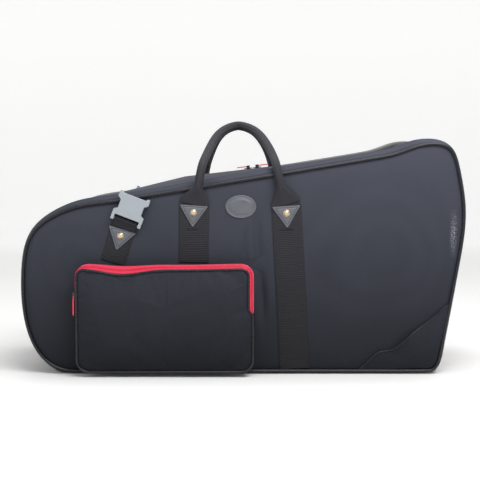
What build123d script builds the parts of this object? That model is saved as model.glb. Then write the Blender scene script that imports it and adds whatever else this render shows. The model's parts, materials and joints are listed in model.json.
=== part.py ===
from build123d import *
import os
from math import acos, atan2, cos, degrees, radians, sin, tan

# Padded soft case for a euphonium or small tenor tuba, standing on its base.
# Frame: X runs from the narrow tail (-X) to the bell end (+X), -Y is the front
# with the pocket, +Z is up. The origin is the middle of the base's underside.
# All sizes are in millimetres.

# ------------------------------------------------------------ overall sizes
length = 740.0            # front panel seam, tail to bell end
depth = 310.0             # front panel to rear panel
bell_height = 386.0       # panel seam at the bell crest
neck_height = 365.0       # panel seam where the bell crest begins
shoulder_height = 292.0   # panel seam where the tail's curve ends
belly_height = 142.0      # height of the tail's furthest point
shoulder_run = 166.0      # tail end to the shoulder
knee_run = 104.0          # shoulder to the highest point of the gusset's bulge
neck_run = 137.0          # neck to the bell end
seam_lift = 5.0           # bottom seam above the ground
base_rise = 3.8           # upturned edge of the base, above its lining
end_crown = 8.0           # gusset's bulge over the seam at the two ends

# ------------------------------------------------------------ cloth and foam
skin = 1.2                # outer nylon
foam = 12.0               # closed-cell padding
lining = 1.0              # inner pile cloth
wall = skin + foam + lining
base_height = wall + base_rise
edge_gap = 7.0            # shell edge to the zip's centre line
slit = 1.2                # zip tape edge to the zip's centre line
tape_thickness = 1.2
tape_inset = 0.4          # tape below the outer nylon
coil_height = 2.0
coil_width = 2.2
body_gap = 0.3            # between pieces of two bodies
piping_width = 5.5
piping_height = 4.5
seam_allowance = 0.5      # sewn pieces keep this clear of the piping
webbing = 1.8             # thickness of all webbing
leather = 2.4

# ------------------------------------------------------------ front pocket
pocket_left = 94.0        # from the tail end of the seam
pocket_width = 293.0
pocket_height = 179.0
pocket_depth = 36.0
pocket_cloth = 2.2
pocket_radius = 20.0
pocket_hinge = 100.0      # height at which the pocket's zip ends
pocket_tape = 9.0
pocket_bead = 4.0         # width of the pocket's piping
pocket_bead_height = 1.6
pocket_parking = 38.0     # hinge to where its slider is parked

# ------------------------------------------------------------ handles
carry_width = 50.0        # carrying webbing
roll_radius = 7.0         # webbing rolled into the grip
pivot_rise = 12.062       # pivots above the seam at the right foot
handle_reach = 175.0      # pivot to the top of the arch
foot_drop = 26.38         # webbing leaves the panel this far below the seam
foot_rise = 2.4           # gathered webbing starts clear of the leather
left_foot_run = 288.0     # tail end to the left run of webbing
right_foot_run = 441.0    # tail end to the right run of webbing
left_neck_shift = 13.0    # feet draw together towards the grip
right_neck_shift = 15.0

# ------------------------------------------------------------ strap buckle
strap_width = 40.0
buckle_width = 53.0
buckle_waist = 41.0
buckle_length = 42.0
buckle_thickness = 11.0
buckle_tilt = 21.0        # from vertical, leaning towards the bell end
bar_radius = 2.4
buckle_clearance = 0.5    # buckle in front of the piping
buckle_run = 174.6        # tail end to the bar
buckle_height = 257.6     # ground to the bar
anchor_tilt = 18.0
loop_run = 12.0           # bar to the stitching of its loop
loop_clearance = 0.2      # webbing round the bar
buckle_standoff = piping_height + buckle_clearance + loop_clearance + bar_radius

# ------------------------------------------------------------ leather and rivets
triangle_width = 48.0
triangle_height = 37.0
rivet_radius = 5.5
rivet_height = 3.2
badge_width = 52.0
badge_height = 39.0
badge_run = 366.5         # tail end to the badge's middle
badge_middle = 282.0      # ground to the badge's middle

# ------------------------------------------------------------ zip hardware
right_slider_x = 26.0
slider_gap = 1.0          # between the two parked sliders
slider_length = 15.0
slider_width = 11.0
slider_plate = 1.4
slider_lift = 0.3
slider_corner = 3.0
cheek_offset = 3.0        # middle of the slider to each cheek of its bail
cheek_length = 6.0
cheek_thickness = 1.2
bail_height = 4.0
pin_drop = 1.6            # pin below the top of the bail
pin_radius = 0.9
pin_clearance = 0.08
blade = 1.5
pull_length = 20.0
pocket_pull_length = 36.0
pull_width = 9.0
pull_thickness = 1.8
pull_neck = 4.2

# ------------------------------------------------------------ inside
patch_thickness = 2.4
patch_length = 186.0      # slip pocket along the bottom seam
patch_height = 121.0      # slip pocket up the bell end
hold_low = 70.0
hold_high = 250.0
hold_x = -20.0
bell_pad_length = 70.0
bell_pad_height = 46.0
bell_pad_run = 120.0      # bell end to the pad's middle

# ------------------------------------------------------------ derived places
tail_x = -length / 2
bell_x = length / 2
front_y = -depth / 2
top_slope = atan2(neck_height - shoulder_height, length - shoulder_run - neck_run)
left_foot_x = tail_x + left_foot_run
right_foot_x = tail_x + right_foot_run
clear_run = 4 * length    # longer than anything that is cut

os.makedirs("parts", exist_ok=True)


def seam_height(x):
    """Height of the panel's seam on its straight upper run."""
    return shoulder_height + (x - tail_x - shoulder_run) * tan(top_slope)


foot_height = seam_height(left_foot_x) - foot_drop
handle_pivot_height = seam_height(right_foot_x) + pivot_rise


def save(shape, node):
    """Write one named piece."""
    shape.label = node
    export_step(shape, f"parts/{node}.step")


def slab(y_low, y_high, z_low=-50.0, z_high=clear_run):
    """Block across the whole length between two depths and two heights."""
    size_y = y_high - y_low
    size_z = z_high - z_low
    middle = Pos(0, (y_low + y_high) / 2, (z_low + z_high) / 2)
    return middle * Box(clear_run, size_y, size_z)


def to_rear(shape):
    """The same piece on the rear half."""
    return mirror(shape, about=Plane.XZ)


# ------------------------------------------------------------ the case's form
def outline(y, crown_share, low, inset):
    """Closed outline of the case at one depth.

    crown_share is how much of the gusset's bulge is reached there, low the
    height of the bottom edge, and inset how far the outline lies inside.
    """
    def seam(x, z, crown, normal):
        shift = crown * crown_share - inset
        return Vector(x + shift * cos(radians(normal)), y, z + shift * sin(radians(normal)))

    up_slope = degrees(top_slope) + 90
    shoulder_x = tail_x + shoulder_run
    knee_x = shoulder_x + knee_run
    knee_z = shoulder_height + knee_run * tan(top_slope)
    tail_foot = Vector(tail_x + 85, y, low + inset)
    bell_foot = Vector(bell_x - 60, y, low + inset)
    belly = seam(tail_x, belly_height, end_crown, 180)
    tail_turn = seam(tail_x + 39, shoulder_height - 34, 9, 135)
    tail_top = seam(tail_x + 87, shoulder_height - 12, 9, 108)
    shoulder = seam(shoulder_x, shoulder_height, 14, up_slope)
    knee = seam(knee_x, knee_z, 22, up_slope)
    neck = seam(bell_x - neck_run, neck_height, 5, up_slope)
    crest = seam(bell_x - 68, bell_height - 1, 9, 96)
    corner = seam(bell_x - 26, bell_height - 6, 11, 60)
    cheek = seam(bell_x - 10, bell_height - 42, 9, 15)
    bell_side = seam(bell_x, bell_height - 108, end_crown, 0)
    rake_top = seam(bell_x - 8, 192, end_crown, -8)
    rake_low = seam(bell_x - 36, 38, end_crown, -10)
    rake = (rake_top - rake_low).normalized()
    top_run = (knee - shoulder).normalized()
    crest_run = (neck - knee).normalized()
    edges = [
        Line(tail_foot, bell_foot),
        Spline([bell_foot, rake_low], tangents=[(1, 0, 0), rake]),
        Line(rake_low, rake_top),
        Spline([rake_top, bell_side, cheek, corner, crest, neck], tangents=[rake, -crest_run]),
        Line(neck, knee),
        Line(knee, shoulder),
        Spline([shoulder, tail_top, tail_turn, belly], tangents=[-top_run, (0, 0, -1)]),
        Spline([belly, tail_foot], tangents=[(0, 0, -1), (1, 0, 0)], tangent_scalars=[1.2, 1.2]),
    ]
    return Face(Wire(edges))


def half_form(inset):
    """Front half of the case's form, shrunk by inset, open at the zip plane."""
    face_y = front_y + inset
    sections = [
        outline(face_y, 0.0, seam_lift, inset),
        outline(face_y + 22, 0.35, 0.0, inset),
        outline(front_y / 2, 0.8, 0.0, inset),
        outline(0.0, 1.0, 0.0, inset),
    ]
    return loft(sections, ruled=True)


outer = half_form(0)
under_skin = half_form(skin)
under_foam = half_form(skin + foam)
cavity = half_form(wall)

skin_shell = outer - under_skin
foam_shell = under_skin - under_foam
lining_shell = under_foam - cavity

panel_foam_y = front_y + skin + foam
rear_above = base_height + body_gap

front_panel = outer & slab(front_y - 1, front_y + skin)
front_padding = under_skin & slab(front_y, panel_foam_y)
gusset_skin = skin_shell & slab(front_y + skin, -edge_gap)
gusset_foam = foam_shell & slab(panel_foam_y, -edge_gap)
lining_half = lining_shell & slab(front_y, -edge_gap)

keep_front = slab(-clear_run / 2, 0, base_height)
keep_rear = slab(0, clear_run / 2, rear_above)
keep_base = slab(-clear_run / 2, clear_run / 2, -50, base_height)

save(front_panel, "front_panel_fabric")
save(front_padding, "front_panel_foam")
save(gusset_skin & keep_front, "front_gusset_fabric")
save(gusset_foam & keep_front, "front_gusset_foam")
save(lining_half & keep_front, "front_lining")

save(to_rear(front_panel) & keep_rear, "rear_panel_fabric")
save(to_rear(front_padding) & keep_rear, "rear_panel_foam")
save(to_rear(gusset_skin) & keep_rear, "rear_gusset_fabric")
save(to_rear(gusset_foam) & keep_rear, "rear_gusset_foam")
save(to_rear(lining_half) & keep_rear, "rear_lining")

# The base runs the full depth; the front panel stands before it and the rear
# panel is hinged along its rear edge.
base_front = slab(front_y + skin, 0, -50, base_height)
base_rear = slab(0, clear_run / 2, -50, base_height)
base_fabric = (skin_shell & base_front) + (to_rear(skin_shell) & base_rear)
save(base_fabric, "base_fabric")
board_front = foam_shell & slab(panel_foam_y, 0, -50, base_height)
board_rear = to_rear(foam_shell) & base_rear
save(board_front + board_rear, "base_board")
base_lining = (lining_shell + to_rear(lining_shell)) & keep_base
save(base_lining, "base_lining")


# ------------------------------------------------------------ piping and main zip
def seam_ring(y, share, low, outside, inside, towards_front):
    """Band along the outline at depth y, between two insets."""
    band = outline(y, share, low, outside) - outline(y, share, low, inside)
    return extrude(band, amount=towards_front, dir=(0, -1, 0))


piping = seam_ring(front_y, 0.0, seam_lift, -piping_width / 2, piping_width / 2, piping_height)
save(piping, "front_piping")
save(to_rear(piping) & keep_rear, "rear_piping")
save(to_rear(piping) & keep_base, "base_rear_piping")

coil_inset = tape_inset + tape_thickness
tape = seam_ring(-slit, 1.0, 0.0, tape_inset, coil_inset, edge_gap - slit)
coil = seam_ring(-slit, 1.0, 0.0, coil_inset, coil_inset + coil_height, coil_width)
save(tape & keep_front, "front_zip_tape")
save(coil & keep_front, "front_zip_coil")
save(to_rear(tape) & keep_rear, "rear_zip_tape")
save(to_rear(coil) & keep_rear, "rear_zip_coil")

# The two sliders meet on the straight upper run of the zip.
crown_line = outline(0.0, 1.0, 0.0, 0.0).edges().filter_by(GeomType.LINE)
upper_run = crown_line.sort_by(Axis.Z)[-1]
run_ends = sorted([upper_run @ 0, upper_run @ 1], key=lambda point: point.X)
run_direction = (run_ends[1] - run_ends[0]).normalized()
run_normal = Vector(-run_direction.Z, 0, run_direction.X)


def slider_body(lower_plate):
    """Zip slider in its own frame: X along the zip, Z away from the tape top."""
    top = Pos(0, 0, slider_lift + slider_plate / 2) * Box(slider_length, slider_width, slider_plate)
    body = fillet(top.edges().filter_by(Axis.Z), slider_corner)
    bail_z = slider_lift + slider_plate
    cheek = Box(cheek_length, cheek_thickness, bail_height)
    for side in (-1, 1):
        body += Pos(0, side * cheek_offset, bail_z + bail_height / 2) * cheek
    pin_z = bail_z + bail_height - pin_drop
    body += Pos(0, 0, pin_z) * Rot(90, 0, 0) * Cylinder(pin_radius, 2 * cheek_offset)
    if lower_plate:
        reach = coil_inset + coil_height + 2 * slider_lift
        stem_height = reach + slider_lift
        stem = Box(slider_length * 0.5, blade, stem_height)
        body += Pos(0, 0, slider_lift - stem_height / 2) * stem
        plate = Box(slider_length, 2 * cheek_offset, slider_plate)
        body += Pos(0, cheek_offset - blade / 2, -reach - slider_plate / 2) * plate
    return body


def pull_tab(reach):
    """Pull tab lying along +X from the slider's pin, eye round the pin."""
    eye_z = slider_lift + slider_plate + bail_height - pin_drop
    eye_outer = pin_radius + pin_clearance + 1.0
    eye = Rot(90, 0, 0) * Cylinder(eye_outer, pull_neck)
    neck = Pos(5.0, 0, 0) * Box(8.0, pull_neck, pull_thickness)
    grip = Pos(4.0 + reach / 2, 0, 0) * Box(reach - 8, pull_width, pull_thickness)
    grip = fillet(grip.edges().filter_by(Axis.Z), 3.2)
    hole = Rot(90, 0, 0) * Cylinder(pin_radius + pin_clearance, 10)
    tab = eye + neck + grip - hole
    return Pos(0, 0, eye_z) * tab


def on_zip(x):
    """Frame on top of the zip tape at a place along the upper run."""
    share = (x - run_ends[0].X) / run_direction.X
    point = run_ends[0] + run_direction * share
    return Plane(origin=point, x_dir=run_direction, z_dir=run_normal).location


right_place = on_zip(right_slider_x)
left_place = on_zip(right_slider_x - slider_length - slider_gap)
save(right_place * slider_body(True), "right_zip_slider")
save(left_place * slider_body(True), "left_zip_slider")
save(right_place * pull_tab(pull_length), "right_zip_pull")
save(left_place * Rot(0, 0, 180) * pull_tab(pull_length), "left_zip_pull")

# ------------------------------------------------------------ front pocket
pocket_low = seam_lift + piping_width / 2 + 0.8
pocket_x = tail_x + pocket_left + pocket_width / 2
pocket_z = pocket_low + pocket_height / 2
pocket_top = pocket_low + pocket_height
pocket_face_y = front_y - pocket_depth


def pocket_plate(grow, y_start, thickness):
    """Rounded plate of the pocket's outline, grown by a margin, towards -Y."""
    radius = pocket_radius + grow
    shape = RectangleRounded(pocket_width + 2 * grow, pocket_height + 2 * grow, radius)
    plane = Plane(origin=(pocket_x, y_start, pocket_z), x_dir=(1, 0, 0), z_dir=(0, -1, 0))
    return extrude(plane * shape, amount=thickness, dir=(0, -1, 0))


gusset_reach = pocket_depth - pocket_cloth
pocket_ring = pocket_plate(0, front_y, gusset_reach) - pocket_plate(-pocket_cloth, front_y, gusset_reach)
save(pocket_ring, "pocket_gusset")

face_plate = pocket_plate(0, front_y - gusset_reach, pocket_cloth)
flap_plate = pocket_plate(0, front_y - gusset_reach - body_gap, pocket_cloth - body_gap)
below_hinge = slab(-clear_run / 2, clear_run / 2, -50, pocket_hinge)
above_hinge = slab(-clear_run / 2, clear_run / 2, pocket_hinge + body_gap)
save(face_plate & below_hinge, "pocket_face_lower")
save(flap_plate & above_hinge, "pocket_flap")

bead_outside = pocket_plate(0, pocket_face_y, pocket_bead_height)
bead_ring = bead_outside - pocket_plate(-pocket_bead, pocket_face_y, pocket_bead_height)
save(bead_ring & below_hinge, "pocket_piping_lower")
save(bead_ring & above_hinge, "pocket_flap_piping")

tape_start = front_y - gusset_reach + pocket_tape
tape_outside = pocket_plate(tape_thickness, tape_start, pocket_tape)
tape_ring = tape_outside - pocket_plate(0, tape_start, pocket_tape)
save(tape_ring & above_hinge, "pocket_zip_tape")

# The pocket's slider is parked on the tail side, its pull hanging down.
pocket_slider_z = pocket_hinge + pocket_parking
pocket_slider_y = tape_start - pocket_tape / 2
pocket_side_x = pocket_x - pocket_width / 2 - tape_thickness
pocket_slider_plane = Plane(
    origin=(pocket_side_x, pocket_slider_y, pocket_slider_z),
    x_dir=(0, 0, -1),
    z_dir=(-1, 0, 0),
)
pocket_place = pocket_slider_plane.location
save(pocket_place * slider_body(False), "pocket_zip_slider")
save(pocket_place * pull_tab(pocket_pull_length), "pocket_zip_pull")


# ------------------------------------------------------------ webbing and leather
def front_plane(x, z, tilt, standoff):
    """Sketch plane on the front, X across, Y up, turned by tilt degrees to +X."""
    across = (cos(radians(tilt)), 0, -sin(radians(tilt)))
    return Plane(origin=(x, front_y - standoff, z), x_dir=across, z_dir=(0, -1, 0))


def band(x_low, z_low, x_high, z_high, width):
    """Flat webbing from one point on the front panel to another."""
    run = Vector(x_high - x_low, 0, z_high - z_low)
    tilt = degrees(atan2(run.X, run.Z))
    middle = front_plane((x_low + x_high) / 2, (z_low + z_high) / 2, tilt, 0)
    return extrude(middle * Rectangle(width, run.length), amount=webbing, dir=(0, -1, 0))


band_low = seam_lift + piping_width / 2 + seam_allowance
over_pocket = slab(-clear_run / 2, clear_run / 2, pocket_top + 0.5)
over_seam = slab(-clear_run / 2, clear_run / 2, band_low)
over_base = slab(-clear_run / 2, clear_run / 2, rear_above + 0.5)

left_band = band(left_foot_x - 3, -20, left_foot_x, foot_height, carry_width)
right_band = band(right_foot_x + 18, -20, right_foot_x, foot_height, carry_width)
save(left_band & over_pocket, "front_webbing_left")
save(right_band & over_seam, "front_webbing_right")
save(to_rear(left_band) & over_base, "rear_webbing_left")
save(to_rear(right_band) & over_base, "rear_webbing_right")


def leather_triangle(x, z, tilt):
    """Leather triangle, point down, its top edge centred on x and z."""
    half = triangle_width / 2
    corners = [(-half, 0), (0, -triangle_height), (half, 0)]
    shape = make_face(Polyline(corners, close=True))
    shape = fillet(shape.vertices(), 2.0)
    place = front_plane(x, z, tilt, webbing)
    piece = extrude(place * shape, amount=leather, dir=(0, -1, 0))
    rim = piece.edges().group_by(Axis.Y)[0]
    return chamfer(rim, 0.7)


def rivet(x, z, tilt):
    """Domed rivet in the middle of a triangle."""
    ball = (rivet_radius**2 + rivet_height**2) / (2 * rivet_height)
    drop = triangle_height * 0.32
    x_at = x - drop * sin(radians(tilt))
    z_at = z - drop * cos(radians(tilt))
    face_y = front_y - webbing - leather
    centre = Pos(x_at, face_y + ball - rivet_height, z_at)
    return (centre * Sphere(ball)) & slab(-clear_run / 2, face_y)


buckle_x = tail_x + buckle_run
triangle_x = buckle_x - loop_run * sin(radians(anchor_tilt)) - 2.0
triangle_z = buckle_height - loop_run * cos(radians(anchor_tilt))
triangles = {
    "left": (left_foot_x, foot_height, 4.0),
    "right": (right_foot_x + 1, foot_height - 1, -3.6),
    "buckle": (triangle_x, triangle_z, anchor_tilt),
}
for name, place in triangles.items():
    piece = leather_triangle(*place)
    save(piece, f"front_triangle_{name}")
    save(to_rear(piece), f"rear_triangle_{name}")
rivets = [rivet(*place) for place in triangles.values()]
save(Compound(rivets), "front_rivets")
save(Compound([to_rear(piece) for piece in rivets]), "rear_rivets")



def badge_oval(margin):
    """The badge's outline, drawn in by a margin."""
    return Ellipse(badge_width / 2 - margin, badge_height / 2 - margin)


badge_x = tail_x + badge_run
badge_plane = front_plane(badge_x, badge_middle, 0, 0)
badge = extrude(badge_plane * badge_oval(0), amount=leather, dir=(0, -1, 0))
badge = fillet(badge.edges().group_by(Axis.Y)[0], 1.0)
groove_plane = front_plane(badge_x, badge_middle, 0, leather - 0.6)
groove = badge_oval(3.0) - badge_oval(4.0)
badge -= extrude(groove_plane * groove, amount=leather, dir=(0, -1, 0))
save(badge, "badge")

# Slip pocket across the lower bell corner: the panel's outline, cut along a slant.
patch_face = outline(front_y, 0.0, seam_lift, piping_width / 2 + seam_allowance)
patch = extrude(patch_face, amount=patch_thickness, dir=(0, -1, 0))
patch_slant = [
    (bell_x - patch_length, 0),
    (bell_x + patch_length, 0),
    (bell_x + patch_length, 2 * patch_height),
    (bell_x - 20, patch_height),
]
patch_corner = make_face(Polyline(patch_slant, close=True))
patch_tool = extrude(Plane.XZ.offset(-front_y - wall) * patch_corner, amount=2 * wall)
save(patch & patch_tool, "corner_pocket")

# ------------------------------------------------------------ handles
neck_y = front_y - piping_height - roll_radius - seam_allowance
left_pivot_x = left_foot_x + left_neck_shift
right_pivot_x = right_foot_x - right_neck_shift
foot_top = handle_pivot_height - roll_radius - 2 * body_gap


def handle_foot(foot_x, pivot_x):
    """Webbing gathered from flat into a roll, up to just under the pivot."""
    levels = [
        (foot_height + foot_rise, foot_x, front_y - webbing / 2 - 1.0, carry_width, 2.0, 0.9),
        (foot_height + 26, foot_x * 0.45 + pivot_x * 0.55, neck_y + 2.0, 22.0, 8.0, 3.6),
        (foot_top, pivot_x, neck_y, 2 * roll_radius, 2 * roll_radius, roll_radius - 0.4),
    ]
    sections = []
    for z, x, y, width, thickness, radius in levels:
        plane = Plane(origin=(x, y, z), x_dir=(1, 0, 0), z_dir=(0, 0, 1))
        sections.append(plane * RectangleRounded(width, thickness, radius))
    return loft(sections, ruled=True)


lean = acos((-neck_y - roll_radius - 0.8) / handle_reach)


def lean_point(x, s):
    """Point of the handle at distance s up its leaning plane."""
    return Vector(x, neck_y + s * cos(lean), handle_pivot_height + s * sin(lean))


span = right_pivot_x - left_pivot_x
arch_top = handle_reach + 11
handle_points = [
    lean_point(left_pivot_x, 0),
    lean_point(left_pivot_x + 0.088 * span, handle_reach * 0.40),
    lean_point(left_pivot_x + 0.216 * span, handle_reach * 0.857),
    lean_point(left_pivot_x + 0.472 * span, arch_top),
    lean_point(left_pivot_x + 0.728 * span, handle_reach * 0.857),
    lean_point(left_pivot_x + 0.904 * span, handle_reach * 0.457),
    lean_point(right_pivot_x, 0),
]
handle_path = FilletPolyline(*handle_points, radius=[120, 55, 26, 55, 110])
start_plane = Plane(origin=handle_path @ 0, z_dir=handle_path % 0)
handle = sweep(start_plane * Circle(roll_radius), path=handle_path)
for end in (handle_points[0], handle_points[-1]):
    handle += Pos(end.X, end.Y, end.Z) * Sphere(roll_radius)
save(handle, "front_handle")
save(to_rear(handle), "rear_handle")

feet = {
    "left": (left_foot_x, left_pivot_x),
    "right": (right_foot_x, right_pivot_x),
}
for name, place in feet.items():
    foot = handle_foot(*place)
    save(foot, f"front_handle_foot_{name}")
    save(to_rear(foot), f"rear_handle_foot_{name}")


# ------------------------------------------------------------ strap buckles
def buckle_socket():
    """Female half of a side-release buckle; the bar's axis is local X at the origin.

    Local Y points from the bar to the mouth, local Z away from the panel.
    """
    half = buckle_width / 2
    waist = buckle_waist / 2
    top = buckle_length + 5
    outline_points = [
        (-half, -3.5), (half, -3.5), (half, 14), (waist, 17.5), (waist, 32),
        (half, 36.5), (half - 0.5, top), (half - 5, top), (half - 7, top - 3),
        (7 - half, top - 3), (5 - half, top), (0.5 - half, top), (-half, 36.5),
        (-waist, 32), (-waist, 17.5), (-half, 14),
    ]
    shape = make_face(Polyline(outline_points, close=True))
    shape = fillet(shape.vertices(), 1.0)
    back = -bar_radius - loop_clearance
    middle = back + buckle_thickness / 2
    body = extrude(Plane.XY.offset(back) * shape, amount=buckle_thickness)
    rims = body.edges().filter_by(GeomType.LINE).filter_by(Plane.XY).group_by(Axis.Z)
    body = chamfer(rims[-1], 0.8)
    slot_width = 2 * (bar_radius + loop_clearance + webbing) + 1.4
    body -= Pos(0, slot_width / 2 - 3.6, middle) * Box(strap_width + 3, slot_width, 30)
    mouth_height = 6.4
    body -= Pos(0, top - 16, middle) * Box(buckle_waist - 5, 34, mouth_height)
    for side in (-1, 1):
        body -= Pos(side * waist, 24.8, middle) * Box(9, 13.0, mouth_height)
    bar = Rot(0, 90, 0) * Cylinder(bar_radius, buckle_width - 4)
    return body + bar


def buckle_loop():
    """Webbing looped round the buckle's bar and laid down on the panel."""
    inner = bar_radius + loop_clearance
    outer_radius = inner + webbing
    ring = Cylinder(outer_radius, strap_width) - Cylinder(inner, strap_width + 1)
    ring = Rot(0, 90, 0) * ring
    drop = buckle_standoff - webbing
    tail_points = [(-2.8, 2.6), (-2.8, -2.6), (-loop_run + 1, -drop), (-loop_run + 1, -drop + 3.2)]
    tail_face = make_face(Polyline(tail_points, close=True))
    tail_plane = Plane(origin=(-strap_width / 2, 0, 0), x_dir=(0, 1, 0), z_dir=(1, 0, 0))
    tail = extrude(tail_plane * tail_face, amount=strap_width)
    core = Rot(0, 90, 0) * Cylinder(inner, strap_width + 1)
    return ring + (tail - core)


bar_plane = front_plane(buckle_x, buckle_height, buckle_tilt, buckle_standoff)
buckle = bar_plane.location * buckle_socket()
loop = bar_plane.location * buckle_loop()
save(buckle, "front_buckle")
save(to_rear(buckle), "rear_buckle")
save(loop, "front_buckle_loop")
save(to_rear(loop), "rear_buckle_loop")

anchor_end_x = triangle_x - (triangle_z - pocket_top + 30) * tan(radians(anchor_tilt))
anchor = band(anchor_end_x, pocket_top - 30, triangle_x, triangle_z, strap_width + 2)
save(anchor & over_pocket, "front_anchor_webbing")
save(to_rear(anchor) & over_pocket, "rear_anchor_webbing")

# ------------------------------------------------------------ inside the case
inner_y = front_y + wall
hold_strap = Box(strap_width, webbing, hold_high - hold_low)
save(Pos(hold_x, inner_y + webbing / 2, (hold_low + hold_high) / 2) * hold_strap, "retaining_strap")
bell_pad = Box(bell_pad_length, depth - 2 * wall - 40, bell_pad_height)
pad_z = wall + lining + bell_pad_height / 2
save(Pos(bell_x - bell_pad_run, 0, pad_z) * bell_pad, "bell_pad")
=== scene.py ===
"""Looks of a padded soft bag for a euphonium or small tenor tuba, built round its CAD frame."""

import json
import math

import bmesh
import bpy
from bpy.props import FloatProperty, FloatVectorProperty, IntProperty, PointerProperty
from mathutils import Matrix, Vector, noise
from mathutils.bvhtree import BVHTree


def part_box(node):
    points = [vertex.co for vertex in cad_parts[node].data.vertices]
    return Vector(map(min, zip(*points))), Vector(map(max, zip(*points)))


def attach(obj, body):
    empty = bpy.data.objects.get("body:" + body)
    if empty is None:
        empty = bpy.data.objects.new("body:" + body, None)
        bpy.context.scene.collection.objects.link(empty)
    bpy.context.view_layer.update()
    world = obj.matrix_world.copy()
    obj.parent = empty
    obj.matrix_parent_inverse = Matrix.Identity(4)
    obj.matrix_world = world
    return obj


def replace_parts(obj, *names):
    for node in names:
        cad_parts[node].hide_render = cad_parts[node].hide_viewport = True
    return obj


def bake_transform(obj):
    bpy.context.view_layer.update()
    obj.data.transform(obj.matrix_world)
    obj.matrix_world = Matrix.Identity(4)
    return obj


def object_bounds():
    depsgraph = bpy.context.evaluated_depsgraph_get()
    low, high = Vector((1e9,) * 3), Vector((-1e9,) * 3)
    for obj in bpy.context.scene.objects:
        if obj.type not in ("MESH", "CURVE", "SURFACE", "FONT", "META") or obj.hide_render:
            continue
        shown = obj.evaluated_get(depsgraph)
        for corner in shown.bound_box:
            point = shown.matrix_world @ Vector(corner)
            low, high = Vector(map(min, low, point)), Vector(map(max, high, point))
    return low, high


bl_info = {
    "name": "Padded tuba bag",
    "version": (1, 0, 0),
    "blender": (4, 5, 0),
    "location": "3D View > Sidebar > Tuba Bag",
    "description": "Builds the cloth, webbing, leather and zips of a padded instrument bag",
    "category": "Object",
}

MM = 0.001
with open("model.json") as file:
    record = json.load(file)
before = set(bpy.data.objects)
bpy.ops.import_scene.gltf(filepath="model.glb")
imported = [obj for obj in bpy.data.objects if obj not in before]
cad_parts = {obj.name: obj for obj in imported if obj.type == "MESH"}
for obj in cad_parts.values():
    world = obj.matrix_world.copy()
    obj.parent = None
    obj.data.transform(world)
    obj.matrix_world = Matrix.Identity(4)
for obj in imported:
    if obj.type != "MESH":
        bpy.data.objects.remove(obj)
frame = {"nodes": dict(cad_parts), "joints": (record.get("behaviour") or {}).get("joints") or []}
CAD_LOW, CAD_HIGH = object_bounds()
HALVES = {"front": -1, "rear": 1}
SHELL_BODY = {"front": "case_front", "rear": "case_rear"}
HEART_X, HEART_Z = 10 * MM, 185 * MM
PIPING_LIFT = 1.6 * MM
STRAP_THICK = 1.8 * MM
JOINTS = {joint["name"]: joint for joint in frame["joints"]}


# ---------------------------------------------------------------- sizes and colours
class CaseSizes(bpy.types.PropertyGroup):
    """Sizes and colours of the padded shell."""

    wall: FloatProperty(
        name="Wall", description="Cloth, foam and lining together", default=14.2 * MM, unit="LENGTH")
    around: IntProperty(name="Points around", description="Points round one panel", default=420, min=60)
    rings: IntProperty(name="Rings", description="Rings from a panel's seam inwards", default=44, min=8)
    rows: IntProperty(name="Rows", description="Rows across one half of the gusset", default=34, min=6)
    piping_radius: FloatProperty(
        name="Piping radius", description="Radius of the piping cord", default=2.6 * MM, unit="LENGTH")
    cloth: FloatVectorProperty(
        name="Cloth", description="Outer nylon", subtype="COLOR", size=3, default=(0.0375, 0.0405, 0.054))
    pile: FloatVectorProperty(
        name="Lining", description="Pile lining", subtype="COLOR", size=3, default=(0.030, 0.031, 0.034))
    vinyl: FloatVectorProperty(
        name="Piping", description="Piping vinyl", subtype="COLOR", size=3, default=(0.008, 0.008, 0.011))


class PocketSizes(bpy.types.PropertyGroup):
    """Sizes of the front pocket's cloth."""

    corner: FloatProperty(name="Corner", description="Corner radius", default=20 * MM, unit="LENGTH")
    puff: FloatProperty(name="Puff", description="How far the face swells", default=7 * MM, unit="LENGTH")
    piping_radius: FloatProperty(
        name="Piping radius", description="Radius of the pocket's piping", default=1.9 * MM, unit="LENGTH")
    zip_red: FloatVectorProperty(
        name="Zip", description="Zip tape", subtype="COLOR", size=3, default=(0.66, 0.016, 0.062))


class WebbingSizes(bpy.types.PropertyGroup):
    """Sizes of the webbing, its leather and its rivets."""

    carry_width: FloatProperty(
        name="Carry width", description="Carrying webbing", default=50 * MM, unit="LENGTH")
    anchor_width: FloatProperty(
        name="Anchor width", description="Buckle's webbing", default=42 * MM, unit="LENGTH")
    thickness: FloatProperty(
        name="Thickness", description="Webbing thickness", default=1.8 * MM, unit="LENGTH")
    rib: FloatProperty(name="Rib", description="Spacing of the woven ribs", default=3.0 * MM, unit="LENGTH")
    leather: FloatVectorProperty(
        name="Leather", description="Leather patches", subtype="COLOR", size=3, default=(0.085, 0.090, 0.105))
    webbing: FloatVectorProperty(
        name="Webbing", description="Webbing yarn", subtype="COLOR", size=3, default=(0.014, 0.014, 0.017))


# ---------------------------------------------------------------- materials
class Wire:
    """One output socket of a material, with arithmetic that adds Math nodes."""

    def __init__(self, finish, socket):
        self.finish = finish
        self.socket = socket

    def math(self, operation, *others, clamp=False):
        values = {i + 1: other for i, other in enumerate(others)}
        values[0] = self
        return self.finish.node("ShaderNodeMath", {"operation": operation, "use_clamp": clamp}, values)[0]

    def __add__(self, other):
        return self.math("ADD", other)

    __radd__ = __add__

    def __mul__(self, other):
        return self.math("MULTIPLY", other)

    __rmul__ = __mul__

    def __sub__(self, other):
        return self.math("SUBTRACT", other)

    def __rsub__(self, other):
        return (self * -1.0) + other

    def __truediv__(self, other):
        return self.math("DIVIDE", other)

    def sine(self):
        return self.math("SINE")

    def size(self):
        return self.math("ABSOLUTE")

    def limit(self):
        return self.math("ADD", 0.0, clamp=True)


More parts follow.
